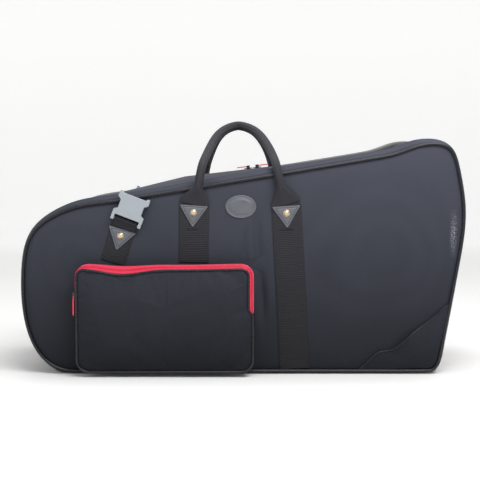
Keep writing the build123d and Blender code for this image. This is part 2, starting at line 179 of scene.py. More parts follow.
class Nodes:
    """The outputs of a new node, by number or by name."""

    def __init__(self, finish, made):
        self.finish = finish
        self.made = made

    def __getitem__(self, key):
        return Wire(self.finish, self.made.outputs[key])


class Finish:
    """A procedural material being wired."""

    def __init__(self, name, base, roughness, **constants):
        self.material = bpy.data.materials.new(name)
        self.material.use_nodes = True
        self.tree = self.material.node_tree
        self.shader = self.tree.nodes["Principled BSDF"]
        self.shader.inputs["Base Color"].default_value = (*base, 1)
        self.shader.inputs["Roughness"].default_value = roughness
        for socket, value in constants.items():
            self.shader.inputs[socket.replace("_", " ")].default_value = value
        self.material.diffuse_color = (*base, 1)

    def node(self, kind, settings=None, inputs=None):
        """Add a node, set its settings, then give its inputs values or wires."""
        made = self.tree.nodes.new(kind)
        for key, value in (settings or {}).items():
            setattr(made, key, value)
        for key, value in (inputs or {}).items():
            self.feed(made.inputs[key], value)
        return Nodes(self, made)

    def feed(self, socket, value):
        if isinstance(value, Wire):
            self.tree.links.new(value.socket, socket)
        else:
            socket.default_value = value

    def into(self, socket, value):
        self.feed(self.shader.inputs[socket], value)

    def millimetres(self, coordinates, count):
        split = self.node("ShaderNodeSeparateXYZ", None, {0: coordinates})
        return [split[i] * 1000.0 for i in range(count)]

    def place(self):
        """Object coordinates in millimetres, as three wires."""
        return self.millimetres(self.coordinates(), 3)

    def coordinates(self):
        return self.node("ShaderNodeTexCoord")["Object"]

    def uv(self):
        """The piece's own UV map, in millimetres, as two wires."""
        return self.millimetres(self.node("ShaderNodeUVMap", {"uv_map": "UVMap"})[0], 2)

    def speckle(self, scale, detail=3.0):
        """Noise from 0 to 1; scale is in features per metre."""
        inputs = {"Vector": self.coordinates(), "Scale": scale, "Detail": detail}
        return self.node("ShaderNodeTexNoise", None, inputs)[0]

    def tint(self, factor, low, high):
        """Mix of two colours."""
        mixed = self.node(
            "ShaderNodeMix", {"data_type": "RGBA"}, {0: factor, 6: self.colour(low), 7: self.colour(high)})
        return mixed[2]

    @staticmethod
    def colour(value):
        return value if isinstance(value, Wire) else (*value, 1)

    def bump(self, height, distance, strength=1.0):
        made = self.node(
            "ShaderNodeBump", None, {"Height": height, "Distance": distance, "Strength": strength})
        self.into("Normal", made[0])


def shade(colour, factor):
    return tuple(channel * factor for channel in colour)


def nylon(name, base, scuffed=False):
    """Coarse plain-weave nylon, with a faint sheen, a little dust and painted shade that darkens it towards
    the bottom.
    """
    finish = Finish(name, base, 0.62, Sheen_Weight=0.02, Sheen_Roughness=0.35, Specular_IOR_Level=0.11)
    x, y, z = finish.place()
    pitch = math.tau / 1.9
    weave = (x * pitch).sine() + (y * pitch).sine() + (z * pitch).sine()
    yarn = finish.speckle(900.0, 2.0)
    blotch = finish.speckle(9.0, 4.0)
    mix = ((weave / 6.0 + 0.5) * 0.3 + yarn * 0.4 + blotch * 0.4).limit()
    # painted shade: the colour runs from a lit tone at the top to a shaded tone at the bottom
    fade = (z / 400.0).limit()
    low = finish.tint(mix, shade(base, 0.14), shade(base, 0.34))
    high = finish.tint(mix, shade(base, 0.85), shade(base, 1.7))
    body = finish.tint(fade, low, high)
    lint = (finish.speckle(420.0, 1.0) - 0.735) * 22.0
    dust = (blotch - 0.45) * 1.4
    mask = (lint.limit() * dust.limit()) * 0.5
    if scuffed:
        edge = CAD_HIGH.x * 1000
        run = (x - (edge - 25.0) + (z - 240.0) * -0.02).size()
        band = (1.0 - run / 7.0).limit()
        height = (1.0 - (z - 238.0).size() / 42.0).limit()
        streaks = finish.speckle(430.0, 5.0)
        wear = (band * height * ((streaks - 0.44) * 5.0).limit() * 1.5).limit()
        mask = (mask + wear * 0.75).limit()
    finish.into("Base Color", finish.tint(mask, body, (0.25, 0.26, 0.28)))
    finish.into("Roughness", blotch * 0.16 + 0.54)
    finish.bump(weave * 0.1 + yarn * 0.5, 0.35 * MM, 0.55)
    return finish.material


def pile(name, base):
    """Short brushed pile of the lining."""
    finish = Finish(name, base, 0.9, Sheen_Weight=0.5, Sheen_Roughness=0.5, Specular_IOR_Level=0.2)
    fluff = finish.speckle(1400.0, 3.0)
    stroke = finish.speckle(26.0, 3.0)
    mix = (fluff * 0.5 + stroke * 0.5).limit()
    finish.into("Base Color", finish.tint(mix, shade(base, 0.6), shade(base, 1.6)))
    finish.bump(fluff, 0.8 * MM, 0.7)
    return finish.material


def vinyl(name, base):
    """Smooth vinyl piping with fine wrinkles."""
    finish = Finish(name, base, 0.3, Specular_IOR_Level=0.3, Coat_Weight=0.06, Coat_Roughness=0.25)
    wrinkle = finish.speckle(380.0, 3.0)
    finish.into("Roughness", wrinkle * 0.18 + 0.2)
    finish.into("Base Color", finish.tint(wrinkle, shade(base, 0.8), shade(base, 1.7)))
    finish.bump(wrinkle, 0.25 * MM, 0.35)
    return finish.material


def ribbed(name, base, rib):
    """Webbing: weft ribs across the strip, warp yarns along it, with painted shade towards the bottom. Reads
    the strip's UV map.
    """
    finish = Finish(name, base, 0.66, Sheen_Weight=0.04, Sheen_Roughness=0.4, Specular_IOR_Level=0.18)
    across, along = finish.uv()
    ribs = ((along * (math.pi / (rib * 1000))).sine()).size()
    warp = ((across * (math.pi / 0.9)).sine()).size()
    fuzz = finish.speckle(1300.0, 2.0)
    height = ribs * 0.75 + warp * 0.15 + fuzz * 0.12
    z = finish.place()[2]
    # painted shade: the webbing's colour darkens towards the bottom
    painted_height_shade = ((z - 20.0) / 340.0).limit() * 0.75 + 0.25
    finish.into("Base Color", finish.tint((height * painted_height_shade).limit(), shade(base, 0.3), shade(base, 2.6)))
    finish.into("Roughness", fuzz * 0.2 + 0.52)
    finish.bump(height, 0.8 * MM, 0.8)
    return finish.material


def hide(name, base):
    """Grained leather with paler, rubbed high spots."""
    finish = Finish(name, base, 0.42, Specular_IOR_Level=0.5)
    inputs = {"Vector": finish.coordinates(), "Scale": 900.0}
    cells = finish.node("ShaderNodeTexVoronoi", {"feature": "F1"}, inputs)["Distance"]
    cloud = finish.speckle(60.0, 4.0)
    mix = (cells * 0.5 + cloud * 0.6).limit()
    finish.into("Base Color", finish.tint(mix, shade(base, 0.62), shade(base, 1.35)))
    finish.into("Roughness", cells * 0.12 + cloud * 0.12 + 0.30)
    finish.bump(cells + cloud * 0.6, 0.25 * MM, 0.6)
    return finish.material


def moulded(name, base, roughness):
    """Fine-textured moulded plastic."""
    finish = Finish(name, base, roughness, Specular_IOR_Level=0.5)
    grain = finish.speckle(2600.0, 2.0)
    cloud = finish.speckle(35.0, 3.0)
    mix = (cloud * 0.8 + grain * 0.2).limit()
    finish.into("Base Color", finish.tint(mix, shade(base, 0.88), shade(base, 1.08)))
    finish.into("Roughness", cloud * 0.14 + (roughness - 0.07))
    finish.bump(grain, 0.08 * MM, 0.5)
    return finish.material


def metal(name, base, roughness, metallic=1.0):
    """Cast metal, polished or painted, with faint scratches."""
    finish = Finish(name, base, roughness, Metallic=metallic)
    scratch = finish.speckle(500.0, 5.0)
    finish.into("Roughness", scratch * 0.2 + (roughness - 0.08))
    finish.into("Base Color", finish.tint(scratch, shade(base, 0.85), shade(base, 1.12)))
    finish.bump(scratch, 0.05 * MM, 0.3)
    return finish.material


def tape_cloth(name, base):
    """Twill-woven zip tape."""
    finish = Finish(name, base, 0.6, Sheen_Weight=0.2, Specular_IOR_Level=0.35)
    x, y, z = finish.place()
    twill = ((x + y * 1.3 + z) * (math.tau / 1.1)).sine()
    fuzz = finish.speckle(1200.0, 2.0)
    mix = (twill * 0.2 + fuzz * 0.7 + 0.1).limit()
    finish.into("Base Color", finish.tint(mix, shade(base, 0.72), shade(base, 1.2)))
    finish.bump(twill * 0.5 + fuzz * 0.6, 0.25 * MM, 0.6)
    return finish.material


def paper(name, base, roughness):
    """Matt floor and backdrop, with a painted glow that grows away from the middle."""
    finish = Finish(name, base, roughness, Specular_IOR_Level=0.2, Emission_Strength=1.0)
    cloud = finish.speckle(1.2, 3.0)
    x, y = finish.place()[:2]
    # painted glow: the emission grows with distance from the middle and adds fill light
    away = ((x * x + y * y) / 3.2e3 ** 2).limit()
    finish.into("Emission Color", finish.tint(away, (0.01, 0.01, 0.01), (0.38, 0.38, 0.38)))
    finish.into("Base Color", finish.tint(cloud, shade(base, 0.985), base))
    return finish.material


FINISHES = {}


def mix_finishes():
    """Make every material once, from the colours in the property groups."""
    scene = bpy.context.scene
    case, pocket, strap = scene.case_sizes, scene.pocket_sizes, scene.webbing_sizes
    red = tuple(pocket.zip_red)
    cloth = tuple(case.cloth)
    FINISHES.update({
        "nylon": nylon("ballistic_nylon", cloth, scuffed=True),
        # the pocket's nylon is the panel's cloth at 0.8 of its brightness, as painted shade
        "plain_nylon": nylon("pocket_nylon", shade(cloth, 0.8)),
        "lining": pile("pile_lining", tuple(case.pile)),
        "piping": vinyl("piping_vinyl", tuple(case.vinyl)),
        "webbing": ribbed("ribbed_webbing", tuple(strap.webbing), strap.rib),
        "roll": ribbed("rolled_webbing", shade(tuple(strap.webbing), 1.25), 1.5 * MM),
        "leather": hide("grey_leather", tuple(strap.leather)),
        "thread": ribbed("dark_thread", (0.05, 0.05, 0.055), 0.6 * MM),
        "brass": metal("brass_cap", (0.62, 0.50, 0.33), 0.36),
        "buckle": moulded("grey_acetal", (0.28, 0.31, 0.335), 0.42),
        "zip_tape": tape_cloth("red_zip_tape", red),
        "zip_coil": moulded("red_zip_coil", shade(red, 0.92), 0.34),
        "slider": metal("black_slider", (0.03, 0.03, 0.034), 0.35, 0.3),
        "pull": metal("red_pull", (0.72, 0.05, 0.10), 0.3, 0.15),
        "floor": paper("studio_paper", (0.78, 0.78, 0.775), 0.7),
    })


# ---------------------------------------------------------------- mesh helpers
def wear(piece, *finishes):
    """Give a piece its materials, in slot order."""
    piece.data.materials.clear()
    for finish in finishes:
        piece.data.materials.append(FINISHES[finish])


def to_piece(bm, name, *finishes, smooth=True):
    """Turn a bmesh into an object of the scene."""
    mesh = bpy.data.meshes.new(name)
    bm.to_mesh(mesh)
    bm.free()
    piece = bpy.data.objects.new(name, mesh)
    bpy.context.scene.collection.objects.link(piece)
    wear(piece, *finishes)
    if smooth:
        mesh.shade_smooth()
    return piece


def modify(piece, kind, **settings):
    modifier = piece.modifiers.new(kind.lower(), kind)
    for key, value in settings.items():
        setattr(modifier, key, value)
    return modifier


def settle(piece):
    """Apply every modifier of a piece to its mesh."""
    depsgraph = bpy.context.evaluated_depsgraph_get()
    mesh = bpy.data.meshes.new_from_object(piece.evaluated_get(depsgraph), depsgraph=depsgraph)
    piece.modifiers.clear()
    piece.data = mesh
    return piece


def thicken(piece, thickness, offset=-1, finer=False, bevel=0.0):
    """Give cloth its thickness, then apply it."""
    modify(piece, "SOLIDIFY", thickness=thickness, offset=offset)
    if finer:
        modify(piece, "SUBSURF", levels=1, render_levels=1)
    if bevel:
        modify(piece, "BEVEL", width=bevel, segments=2, limit_method="ANGLE")
    settle(piece)
    piece.data.shade_smooth()


def round_off(piece, voxel, passes):
    """Remesh a merged copy and soften its edges."""
    modify(piece, "REMESH", mode="VOXEL", voxel_size=voxel, use_smooth_shade=True)
    modify(piece, "SMOOTH", factor=0.5, iterations=passes)
    settle(piece)


def belong(piece, slot, *nodes, body=None):
    """Say the nodes that a piece stands for and the body that it rides on; slot is not used."""
    if body:
        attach(piece, body)
    if nodes:
        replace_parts(piece, *nodes)
    return piece


def paint_uv(bm, flat):
    """Write a UV map from each vertex's place on the flat strip."""
    uv_layer = bm.loops.layers.uv.new("UVMap")
    for face in bm.faces:
        for loop in face.loops:
            loop[uv_layer].uv = flat[loop.vert]


def skin_rings(bm, rows, girth, along, closed=False):
    """Join rings of points into a tube with a UV map in metres, and cap it if it is open."""
    uv_layer = bm.loops.layers.uv["UVMap"]
    sides = len(rows[0])
    pairs = list(zip(rows, rows[1:]))
    if closed:
        pairs.append((rows[-1], rows[0]))
    for row, (low, high) in enumerate(pairs):
        for i in range(sides):
            j = (i + 1) % sides
            face = bm.faces.new((low[i], low[j], high[j], high[i]))
            corners = ((i, row), (i + 1, row), (i + 1, row + 1), (i, row + 1))
            for loop, (u, v) in zip(face.loops, corners):
                loop[uv_layer].uv = (u / sides * girth, along[v])
    if not closed:
        bm.faces.new(rows[0][::-1])
        bm.faces.new(rows[-1])
    bmesh.ops.recalc_face_normals(bm, faces=bm.faces)


def smooth(value):
    """Soft step from 0 to 1."""
    value = max(0.0, min(1.0, value))
    return value * value * (3 - 2 * value)


def distances(points):
    """How far along a line each of its points is."""
    lengths = [0.0]
    for a, b in zip(points, points[1:]):
        lengths.append(lengths[-1] + (b - a).length)
    return lengths


def outward(ring, i):
    """Direction out of a closed line in the panel's plane."""
    run = (ring[(i + 1) % len(ring)] - ring[i - 1]).normalized()
    return Vector((run.z, 0, -run.x))


def frame_of(x, y, z):
    """Turn that lays a shape's own axes along three directions."""
    return Matrix((x, y, z)).transposed().to_4x4()


def inflate(piece, pinned, pressure, cap, stretch=0.0):
    """Swell a sewn sheet by cloth simulation; pinned is the number of its first points, along the seam."""
    rest = [vert.co.copy() for vert in piece.data.vertices]
    seam = piece.vertex_groups.new(name="seam")
    seam.add(list(range(pinned)), 1.0, "REPLACE")
    cloth = modify(piece, "CLOTH")
    settings = cloth.settings
    settings.quality = 6
    settings.mass = 0.3
    settings.vertex_group_mass = seam.name
    settings.use_pressure = True
    settings.uniform_pressure_force = pressure
    settings.effector_weights.gravity = 0
    settings.shrink_min = -stretch
    cloth.collision_settings.use_collision = False
    cloth.point_cache.frame_start = 1
    cloth.point_cache.frame_end = 20
    scene = bpy.context.scene
    for step in range(1, 21):
        scene.frame_set(step)
    settle(piece)
    scene.frame_set(1)
    for vert, start in zip(piece.data.vertices, rest):
        moved = vert.co - start
        if moved.length > cap:
            vert.co = start + moved.normalized() * cap
    piece.vertex_groups.clear()


def loop_of(bm, points, closed=True):
    """A chain of edges through points."""
    verts = [bm.verts.new(point) for point in points]
    pairs = list(zip(verts, verts[1:]))
    if closed:
        pairs.append((verts[-1], verts[0]))
    edges = [bm.edges.new(pair) for pair in pairs]
    return verts, edges


def grow_row(bm, verts, edges, points):
    """Extrude a chain of edges and move the new chain to points, kept in the same order."""
    made = bmesh.ops.extrude_edge_only(bm, edges=edges)["geom"]
    new_verts = {v for v in made if isinstance(v, bmesh.types.BMVert)}
    partner = {}
    for vert in verts:
        for edge in vert.link_edges:
            other = edge.other_vert(vert)
            if other in new_verts:
                partner[vert] = other
    row = [partner[vert] for vert in verts]
    for vert, point in zip(row, points):
        vert.co = point
    new_edges = []
    for a, b in zip(row, row[1:] + row[:1]):
        edge = bm.edges.get((a, b))
        if edge is not None:
            new_edges.append(edge)
    return row, new_edges


def face_out(bm, away=None):
    """Turn faces outwards; away is a point that open cloth faces away from."""
    bmesh.ops.recalc_face_normals(bm, faces=bm.faces)
    if away is None:
        return
    inward = sum(1 if f.normal.dot(f.calc_center_median() - away) < 0 else -1 for f in bm.faces)
    if inward > 0:
        bmesh.ops.reverse_faces(bm, faces=bm.faces)


def tube(name, points, radius, closed=False, sides=10):
    """Sweep a round piping cord along points."""
    bm = bmesh.new()
    bm.loops.layers.uv.new("UVMap")
    count = len(points)
    rows = []
    side = None
    for i, point in enumerate(points):
        before = points[(i - 1) % count] if closed or i else point
        after = points[(i + 1) % count] if closed or i < count - 1 else point
        forward = (after - before).normalized()
        if side is None:
            side = forward.cross(Vector((0, 0, 1)) if abs(forward.z) < 0.9 else Vector((0, 1, 0)))
        side = (side - forward * side.dot(forward)).normalized()
        ring = bmesh.ops.create_circle(bm, segments=sides, radius=radius)["verts"]
        basis = frame_of(side, forward.cross(side), forward)
        bmesh.ops.transform(bm, matrix=Matrix.Translation(point) @ basis, verts=ring)
        rows.append(ring)
    along = distances(points)
    along.append(along[-1] + along[1])
    skin_rings(bm, rows, math.tau * radius, along, closed)
    return to_piece(bm, name, "piping")


# ---------------------------------------------------------------- the panel's outline and relief
def even(points, count, closed=True):
    """The same polyline with evenly spaced points."""
    ring = points + points[:1] if closed else points
    lengths = distances(ring)
    steps = count if closed else count - 1
    result = []
    k = 0
    for i in range(count):
        goal = lengths[-1] * i / steps
        while k < len(ring) - 2 and lengths[k + 1] < goal:
            k += 1
        span = max(lengths[k + 1] - lengths[k], 1e-9)
        result.append(ring[k].lerp(ring[k + 1], min(1.0, (goal - lengths[k]) / span)))
    return result


def seam_line(half):
    """Outline of a panel in its outer plane, as seen from the front, from the frame."""
    node = frame["nodes"][f"{half}_panel_fabric"]
    low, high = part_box(f"{half}_panel_fabric")
    plane = low.y if half == "front" else high.y
    middle = (low + high) / 2
    rim = [v.co for v in node.data.vertices if abs(v.co.y - plane) < 0.05 * MM]
    places = {(round(p.x, 6), round(p.z, 6)) for p in rim}
    places = sorted(places, key=lambda p: math.atan2(p[1] - middle.z, p[0] - middle.x))
    return [Vector((x, plane, z)) for x, z in places]


def hill(x, z, at_x, at_z, wide, high, rise):
    """Soft round bulge or dent."""
    return rise * math.exp(-(((x - at_x) / wide) ** 2) - ((z - at_z) / high) ** 2)


POCKET_LOW, POCKET_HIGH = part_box("pocket_gusset")
BADGE_LOW, BADGE_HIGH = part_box("badge")


def front_crease(x, z):
    """Long crease in the front panel beside the pocket."""
    start = Vector((POCKET_HIGH.x + 6 * MM, 0, POCKET_HIGH.z + 62 * MM))
    end = Vector((POCKET_HIGH.x + 20 * MM, 0, POCKET_LOW.z + 50 * MM))
    share = (start.z - z) / (start.z - end.z)
    line = start.x + (end.x - start.x) * share
    off = (x - line) / (7 * MM)
    fade = math.exp(-((share - 0.42) / 0.42) ** 4)
    valley = -4.6 * MM * math.exp(-off * off)
    ridge = 3.0 * MM * math.exp(-((off + 1.9) / 1.2) ** 2)
    return (valley + ridge) * fade


def relief(half, x, z):
    """How far the soft panel stands proud of its flat plane."""
    total = hill(x, z, 232 * MM, 205 * MM, 120 * MM, 105 * MM, 5.5 * MM)
    total += hill(x, z, -285 * MM, 185 * MM, 62 * MM, 62 * MM, 4.5 * MM)
    total += hill(x, z, 20 * MM, 150 * MM, 90 * MM, 70 * MM, 1.5 * MM)
    wobble = noise.noise(Vector((x * 9, HALVES[half] * 3.0, z * 9)))
    total += wobble * 1.1 * MM
    if half == "front":
        total += front_crease(x, z)
    return total


def skin_y(half, x, z):
    """Depth of the outer cloth at a place on a panel."""
    side = HALVES[half]
    plane = side * abs(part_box("front_panel_fabric")[0].y)
    return plane + side * relief(half, x, z)


# ---------------------------------------------------------------- padded shell
def pad_out(piece, wall):
    """Foam behind the cloth, with the lining as its inner face."""
    modify(piece, "SOLIDIFY", thickness=wall, offset=-1, material_offset=1, material_offset_rim=0)
    settle(piece)


def start_above(line, level):
    """Indices round a closed line, from where it rises through a level at the bell end."""
    count = len(line)
    start = next(i for i in range(count) if line[i - 1].z <= level < line[i].z and line[i].x > 0)
    return [(start + i) % count for i in range(count)]


def make_panel(half, sizes):
    """Padded panel: outer cloth with its relief, foam thickness and lining behind."""
    outline = even(seam_line(half), sizes.around)
    side = HALVES[half]
    middle = Vector((HEART_X, outline[0].y, HEART_Z))
    bm = bmesh.new()
    verts, edges = loop_of(bm, outline)
    shares = [0.006, 0.016, 0.03, 0.05]
    shares += [0.05 + 0.88 * ((k + 1) / (sizes.rings - 4)) for k in range(sizes.rings - 4)]
    for share in shares:
        points = []
        for point in outline:
            p = point.lerp(middle, share)
            depth_in = (point - p).length
            rise = relief(half, p.x, p.z) * (1 - math.exp(-depth_in / (26 * MM)))
            tuck = -1.6 * MM * math.exp(-depth_in / (5 * MM))
            p.y = point.y + side * (rise + tuck)
            points.append(p)
        verts, edges = grow_row(bm, verts, edges, points)
    cap = bm.faces.new(verts)
    bmesh.ops.poke(bm, faces=[cap])
    face_out(bm, away=Vector((middle.x, 0, middle.z)))
    piece = to_piece(bm, f"{half}_panel", "nylon", "lining")
    pad_out(piece, sizes.wall)
    for vert in piece.data.vertices:
        vert.co.z = max(vert.co.z, CAD_LOW.z + 0.3 * MM)
    belong(piece, "nylon", f"{half}_panel_fabric", f"{half}_panel_foam", body=SHELL_BODY[half])


def make_gusset(half, sizes):
    """Padded half of the gusset, from the piping to the zip."""
    side = HALVES[half]
    line = even(seam_line(half), sizes.around)
    floor_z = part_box(f"{half}_gusset_fabric")[0].z + 0.4 * MM
    normals = [outward(line, i) for i in range(len(line))]
    keep = [i for i in start_above(line, floor_z) if line[i].z > floor_z]
    fabric = frame["nodes"][f"{half}_gusset_fabric"]
    tree = BVHTree.FromObject(fabric, bpy.context.evaluated_depsgraph_get())
    zip_y = side * 7.0 * MM
    near_seam = side * (abs(line[0].y) - PIPING_LIFT)
    bm = bmesh.new()
    verts, edges = loop_of(bm, [line[i] for i in keep], closed=False)
    for row in range(1, sizes.rows + 1):
        share = row / sizes.rows
        y = near_seam + (zip_y - near_seam) * share
        y_cast = max(min(abs(y), abs(near_seam)), 7.4 * MM) * side
        points = []
        for i in keep:
            out = normals[i]
            origin = Vector((line[i].x, y_cast, max(line[i].z, floor_z + 0.4 * MM))) + out * 60 * MM
            hit = tree.ray_cast(origin, -out, 0.12)[0]
            hit = hit if hit is not None else line[i] + out * 8 * MM
            ripple = noise.noise(Vector((hit.x * 8, y * 14 + side, hit.z * 8))) * 1.0 * MM
            ripple *= math.sin(math.pi * min(1.0, share * 1.02))
            points.append(Vector((hit.x, y, hit.z)) + out * ripple)
        verts, edges = grow_row(bm, verts, edges, points)
    face_out(bm, away=Vector((HEART_X, 0, HEART_Z)))
    piece = to_piece(bm, f"{half}_gusset", "nylon", "lining")
    pad_out(piece, sizes.wall)
    stands_for = [f"{half}_gusset_fabric", f"{half}_gusset_foam", f"{half}_lining"]
    belong(piece, "nylon", *stands_for, body=SHELL_BODY[half])


def merged_copy(name, *nodes):
    """New object holding merged copies of CAD nodes."""
    bm = bmesh.new()
    for node in nodes:
        bm.from_mesh(frame["nodes"][node].data)
    bmesh.ops.remove_doubles(bm, verts=bm.verts, dist=0.02 * MM)
    return to_piece(bm, name, "nylon")


def make_base():
    """Padded base across the whole depth, with its upturned edges."""
    piece = merged_copy("base", "base_fabric", "base_board", "base_lining")
    round_off(piece, 3.5 * MM, 3)
    wear(piece, "nylon", "lining")
    low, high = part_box("base_lining")
    top = low.z - 0.8 * MM
    edge = low + Vector((-2, -2, 0)) * MM
    far = high + Vector((2, 2, 0)) * MM
    for face in piece.data.polygons:
        at = face.center
        inside = edge.x < at.x < far.x and edge.y < at.y < far.y
        face.material_index = 1 if at.z > top and inside else 0
    piece.data.shade_smooth()
    belong(piece, "nylon", "base_fabric", "base_board", "base_lining", body="case_front")


def make_piping(sizes):
    """Round piping along both seams; the rear one is in two parts, on the base and on the rear half."""
    line = even(seam_line("front"), sizes.around)
    lifted = [p - Vector((0, PIPING_LIFT, 0)) for p in line]
    piece = tube("front_piping", lifted, sizes.piping_radius, closed=True)
    belong(piece, "piping", "front_piping", body="case_front")
    line = [Vector((p.x, -p.y, p.z)) for p in line]
    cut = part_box("rear_piping")[0].z
    parts = {"rear_piping_upper": [], "rear_piping_base": []}
    for i in start_above(line, cut):
        name = "rear_piping_upper" if line[i].z > cut else "rear_piping_base"
        parts[name].append(line[i] + Vector((0, PIPING_LIFT, 0)))
    for (name, points), node, body in zip(
            parts.items(), ("rear_piping", "base_rear_piping"), ("case_rear", "case_front")):
        belong(tube(name, points, sizes.piping_radius), "piping", node, body=body)


# ---------------------------------------------------------------- zips
def tooth(bm, at, basis, long, wide, high):
    """One small moulded tooth."""
    made = bmesh.ops.create_cube(bm, size=1.0)["verts"]
    bmesh.ops.scale(bm, vec=(long, wide, high), verts=made)
    bmesh.ops.transform(bm, matrix=Matrix.Translation(at) @ basis, verts=made)


def tooth_row(bm, name):
    bmesh.ops.recalc_face_normals(bm, faces=bm.faces)
    return belong(to_piece(bm, name, "zip_coil", smooth=False), "zip_coil")


def zip_crown():
    """Line of the main zip on top of its tape, from the frame."""
    tape = frame["nodes"]["front_zip_tape"]
    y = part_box("front_zip_tape")[1].y
    middle = Vector((HEART_X, y, HEART_Z))
    by_angle = {}
    for p in [v.co.copy() for v in tape.data.vertices if abs(v.co.y - y) < 0.05 * MM]:
        angle = round(math.atan2(p.z - middle.z, p.x - middle.x), 3)
        if angle not in by_angle or (p - middle).length > (by_angle[angle] - middle).length:
            by_angle[angle] = p
    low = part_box("front_zip_tape")[0].z
    order = sorted(by_angle, key=lambda a: (a + math.pi / 2) % math.tau)
    return [by_angle[a] for a in order if by_angle[a].z > low + 0.3 * MM]


def make_main_teeth():
    """Closed teeth between the two tapes of the main zip, each row on its own half."""
    keep = []
    for p in zip_crown():
        if not keep or (p - keep[-1]).length > 0.8 * MM:
            keep.append(p)
    pitch = 2.4 * MM
    points = even(keep, int(distances(keep)[-1] / pitch), closed=False)
    for first, (half, side) in enumerate(HALVES.items(), 1):
        bm = bmesh.new()
        for i in range(first, len(points) - 1, 2):
            run = (points[i + 1] - points[i - 1]).normalized()
            out = Vector((run.z, 0, -run.x))
            at = Vector((points[i].x, side * 0.9 * MM, points[i].z)) - out * 0.9 * MM
            tooth(bm, at, frame_of(run, Vector((0, 1, 0)), out), 1.5 * MM, 2.6 * MM, 1.5 * MM)
        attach(tooth_row(bm, f"{half}_zip_teeth"), SHELL_BODY[half])


def paint_frame():
    """Finishes of the CAD nodes that stay in sight."""
    kept = {
        "zip_tape": ["front_zip_tape", "rear_zip_tape"],
        "zip_coil": ["front_zip_coil", "rear_zip_coil"],
        "slider": ["left_zip_slider", "right_zip_slider", "pocket_zip_slider"],
        "pull": ["left_zip_pull", "right_zip_pull", "pocket_zip_pull"],
        "buckle": ["front_buckle", "rear_buckle"],
    }
    for finish, nodes in kept.items():
        for node in nodes:
            wear(frame["nodes"][node], finish)


# ---------------------------------------------------------------- webbing
def strip(name, half, start, end, width, thickness):
    """Flat webbing laid on a panel from start to end, given as x and z."""
    side = HALVES[half]
    a, b = Vector((start[0], 0, start[1])), Vector((end[0], 0, end[1]))
    run = (b - a).normalized()
    across = Vector((run.z, 0, -run.x))
    length = (b - a).length
    bm = bmesh.new()
    bmesh.ops.create_grid(bm, x_segments=14, y_segments=max(8, int(length / (4 * MM))), size=0.5)
    flat = {}
    for vert in bm.verts:
        u = vert.co.x * width
        v = (vert.co.y + 0.5) * length
        flat[vert] = (u, v)
        p = a + run * v + across * u
        rise = thickness - (0.5 * MM if abs(vert.co.x) * 2 > 0.98 else 0.0)
        p.y = skin_y(half, p.x, p.z) + side * rise
        vert.co = p
    paint_uv(bm, flat)
    face_out(bm, away=Vector((0, 0, a.z)))
    piece = to_piece(bm, name, "webbing")
    thicken(piece, thickness + 0.6 * MM, bevel=0.5 * MM)
    return piece


def lower_end(node):
    """Middle of the lower end of a strip of webbing in the frame, as x and z."""
    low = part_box(node)[0].z
    lower = [v.co.x for v in frame["nodes"][node].data.vertices if v.co.z < low + 1 * MM]
    return sum(lower) / len(lower), low


def make_straps(sizes):
    """Carrying and anchor webbing on both panels."""
    for half, body in SHELL_BODY.items():
        runs = {}
        for place in ("left", "right"):
            node = f"{half}_webbing_{place}"
            end = (triangle_place(half, place)[0].x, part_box(node)[1].z)
            runs[node] = (f"{half}_strap_{place}", lower_end(node), end, sizes.carry_width)
        node = f"{half}_anchor_webbing"
        top, tilt = triangle_place(half, "buckle")[:2]
        floor_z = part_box(node)[0].z
        start = (top.x - (top.z - floor_z) * math.tan(tilt), floor_z)
        runs[node] = (f"{half}_anchor_strap", start, (top.x, top.z), sizes.anchor_width)
        for node, (name, start, end, width) in runs.items():
            belong(strip(name, half, start, end, width, sizes.thickness), "webbing", node, body=body)


# ---------------------------------------------------------------- leather, rivets and badge
def triangle_place(half, place):
    """Middle of a triangle's top edge, its tilt and its tip, from the frame."""
    node = frame["nodes"][f"{half}_triangle_{place}"]
    co = [v.co for v in node.data.vertices]
    tip = min(co, key=lambda p: p.z)
    left = min(co, key=lambda p: p.x)
    right = max(co, key=lambda p: p.x)
    run = (right - left).normalized()
    return (left + right) / 2, math.atan2(-run.z, run.x), tip


def raised_patch(name, outline, profile, finish, half, at, tilt=0.0, bm=None):
    """Flat-backed patch built up in rings; profile holds inset and height pairs in millimetres."""
    own = bm is None
    bm = bm or bmesh.new()
    side = HALVES[half]
    turn = Matrix.Rotation(tilt, 3, "Y")

    def ring(inset, height):
        return [at + turn @ Vector((x, side * height * MM, z)) for x, z in outline(inset * MM)]

    verts, edges = loop_of(bm, ring(*profile[0]))
    bm.faces.new(verts)
    for inset, height in profile[1:]:
        verts, edges = grow_row(bm, verts, edges, ring(inset, height))
    bm.faces.new(verts)
    bmesh.ops.recalc_face_normals(bm, faces=bm.faces)
    if not own:
        return None
    return belong(to_piece(bm, name, finish), "leather", body=SHELL_BODY[half])


def triangle_outline(inset, radius=1.6 * MM, width=48.5 * MM, height=37.5 * MM):
    """Triangle with softened corners, point down, drawn in by inset."""
    slant = math.hypot(width / 2, height)
    reach = width * height / (width + 2 * slant)
    shrink = 1 - inset / reach
    corners = [Vector((-width / 2, 0, 0)), Vector((0, 0, -height)), Vector((width / 2, 0, 0))]
    heart = Vector((0, 0, -reach))
    corners = [heart + (corner - heart) * shrink for corner in corners]
    points = []
    for i, corner in enumerate(corners):
        before = (corners[i - 1] - corner).normalized() * radius * 1.6
        after = (corners[(i + 1) % 3] - corner).normalized() * radius * 1.6
        for k in range(7):
            t = k / 6
            points.append(corner + before * (1 - t) ** 2 + after * t ** 2)
    return [(point.x, point.z) for point in even(points, 90)]


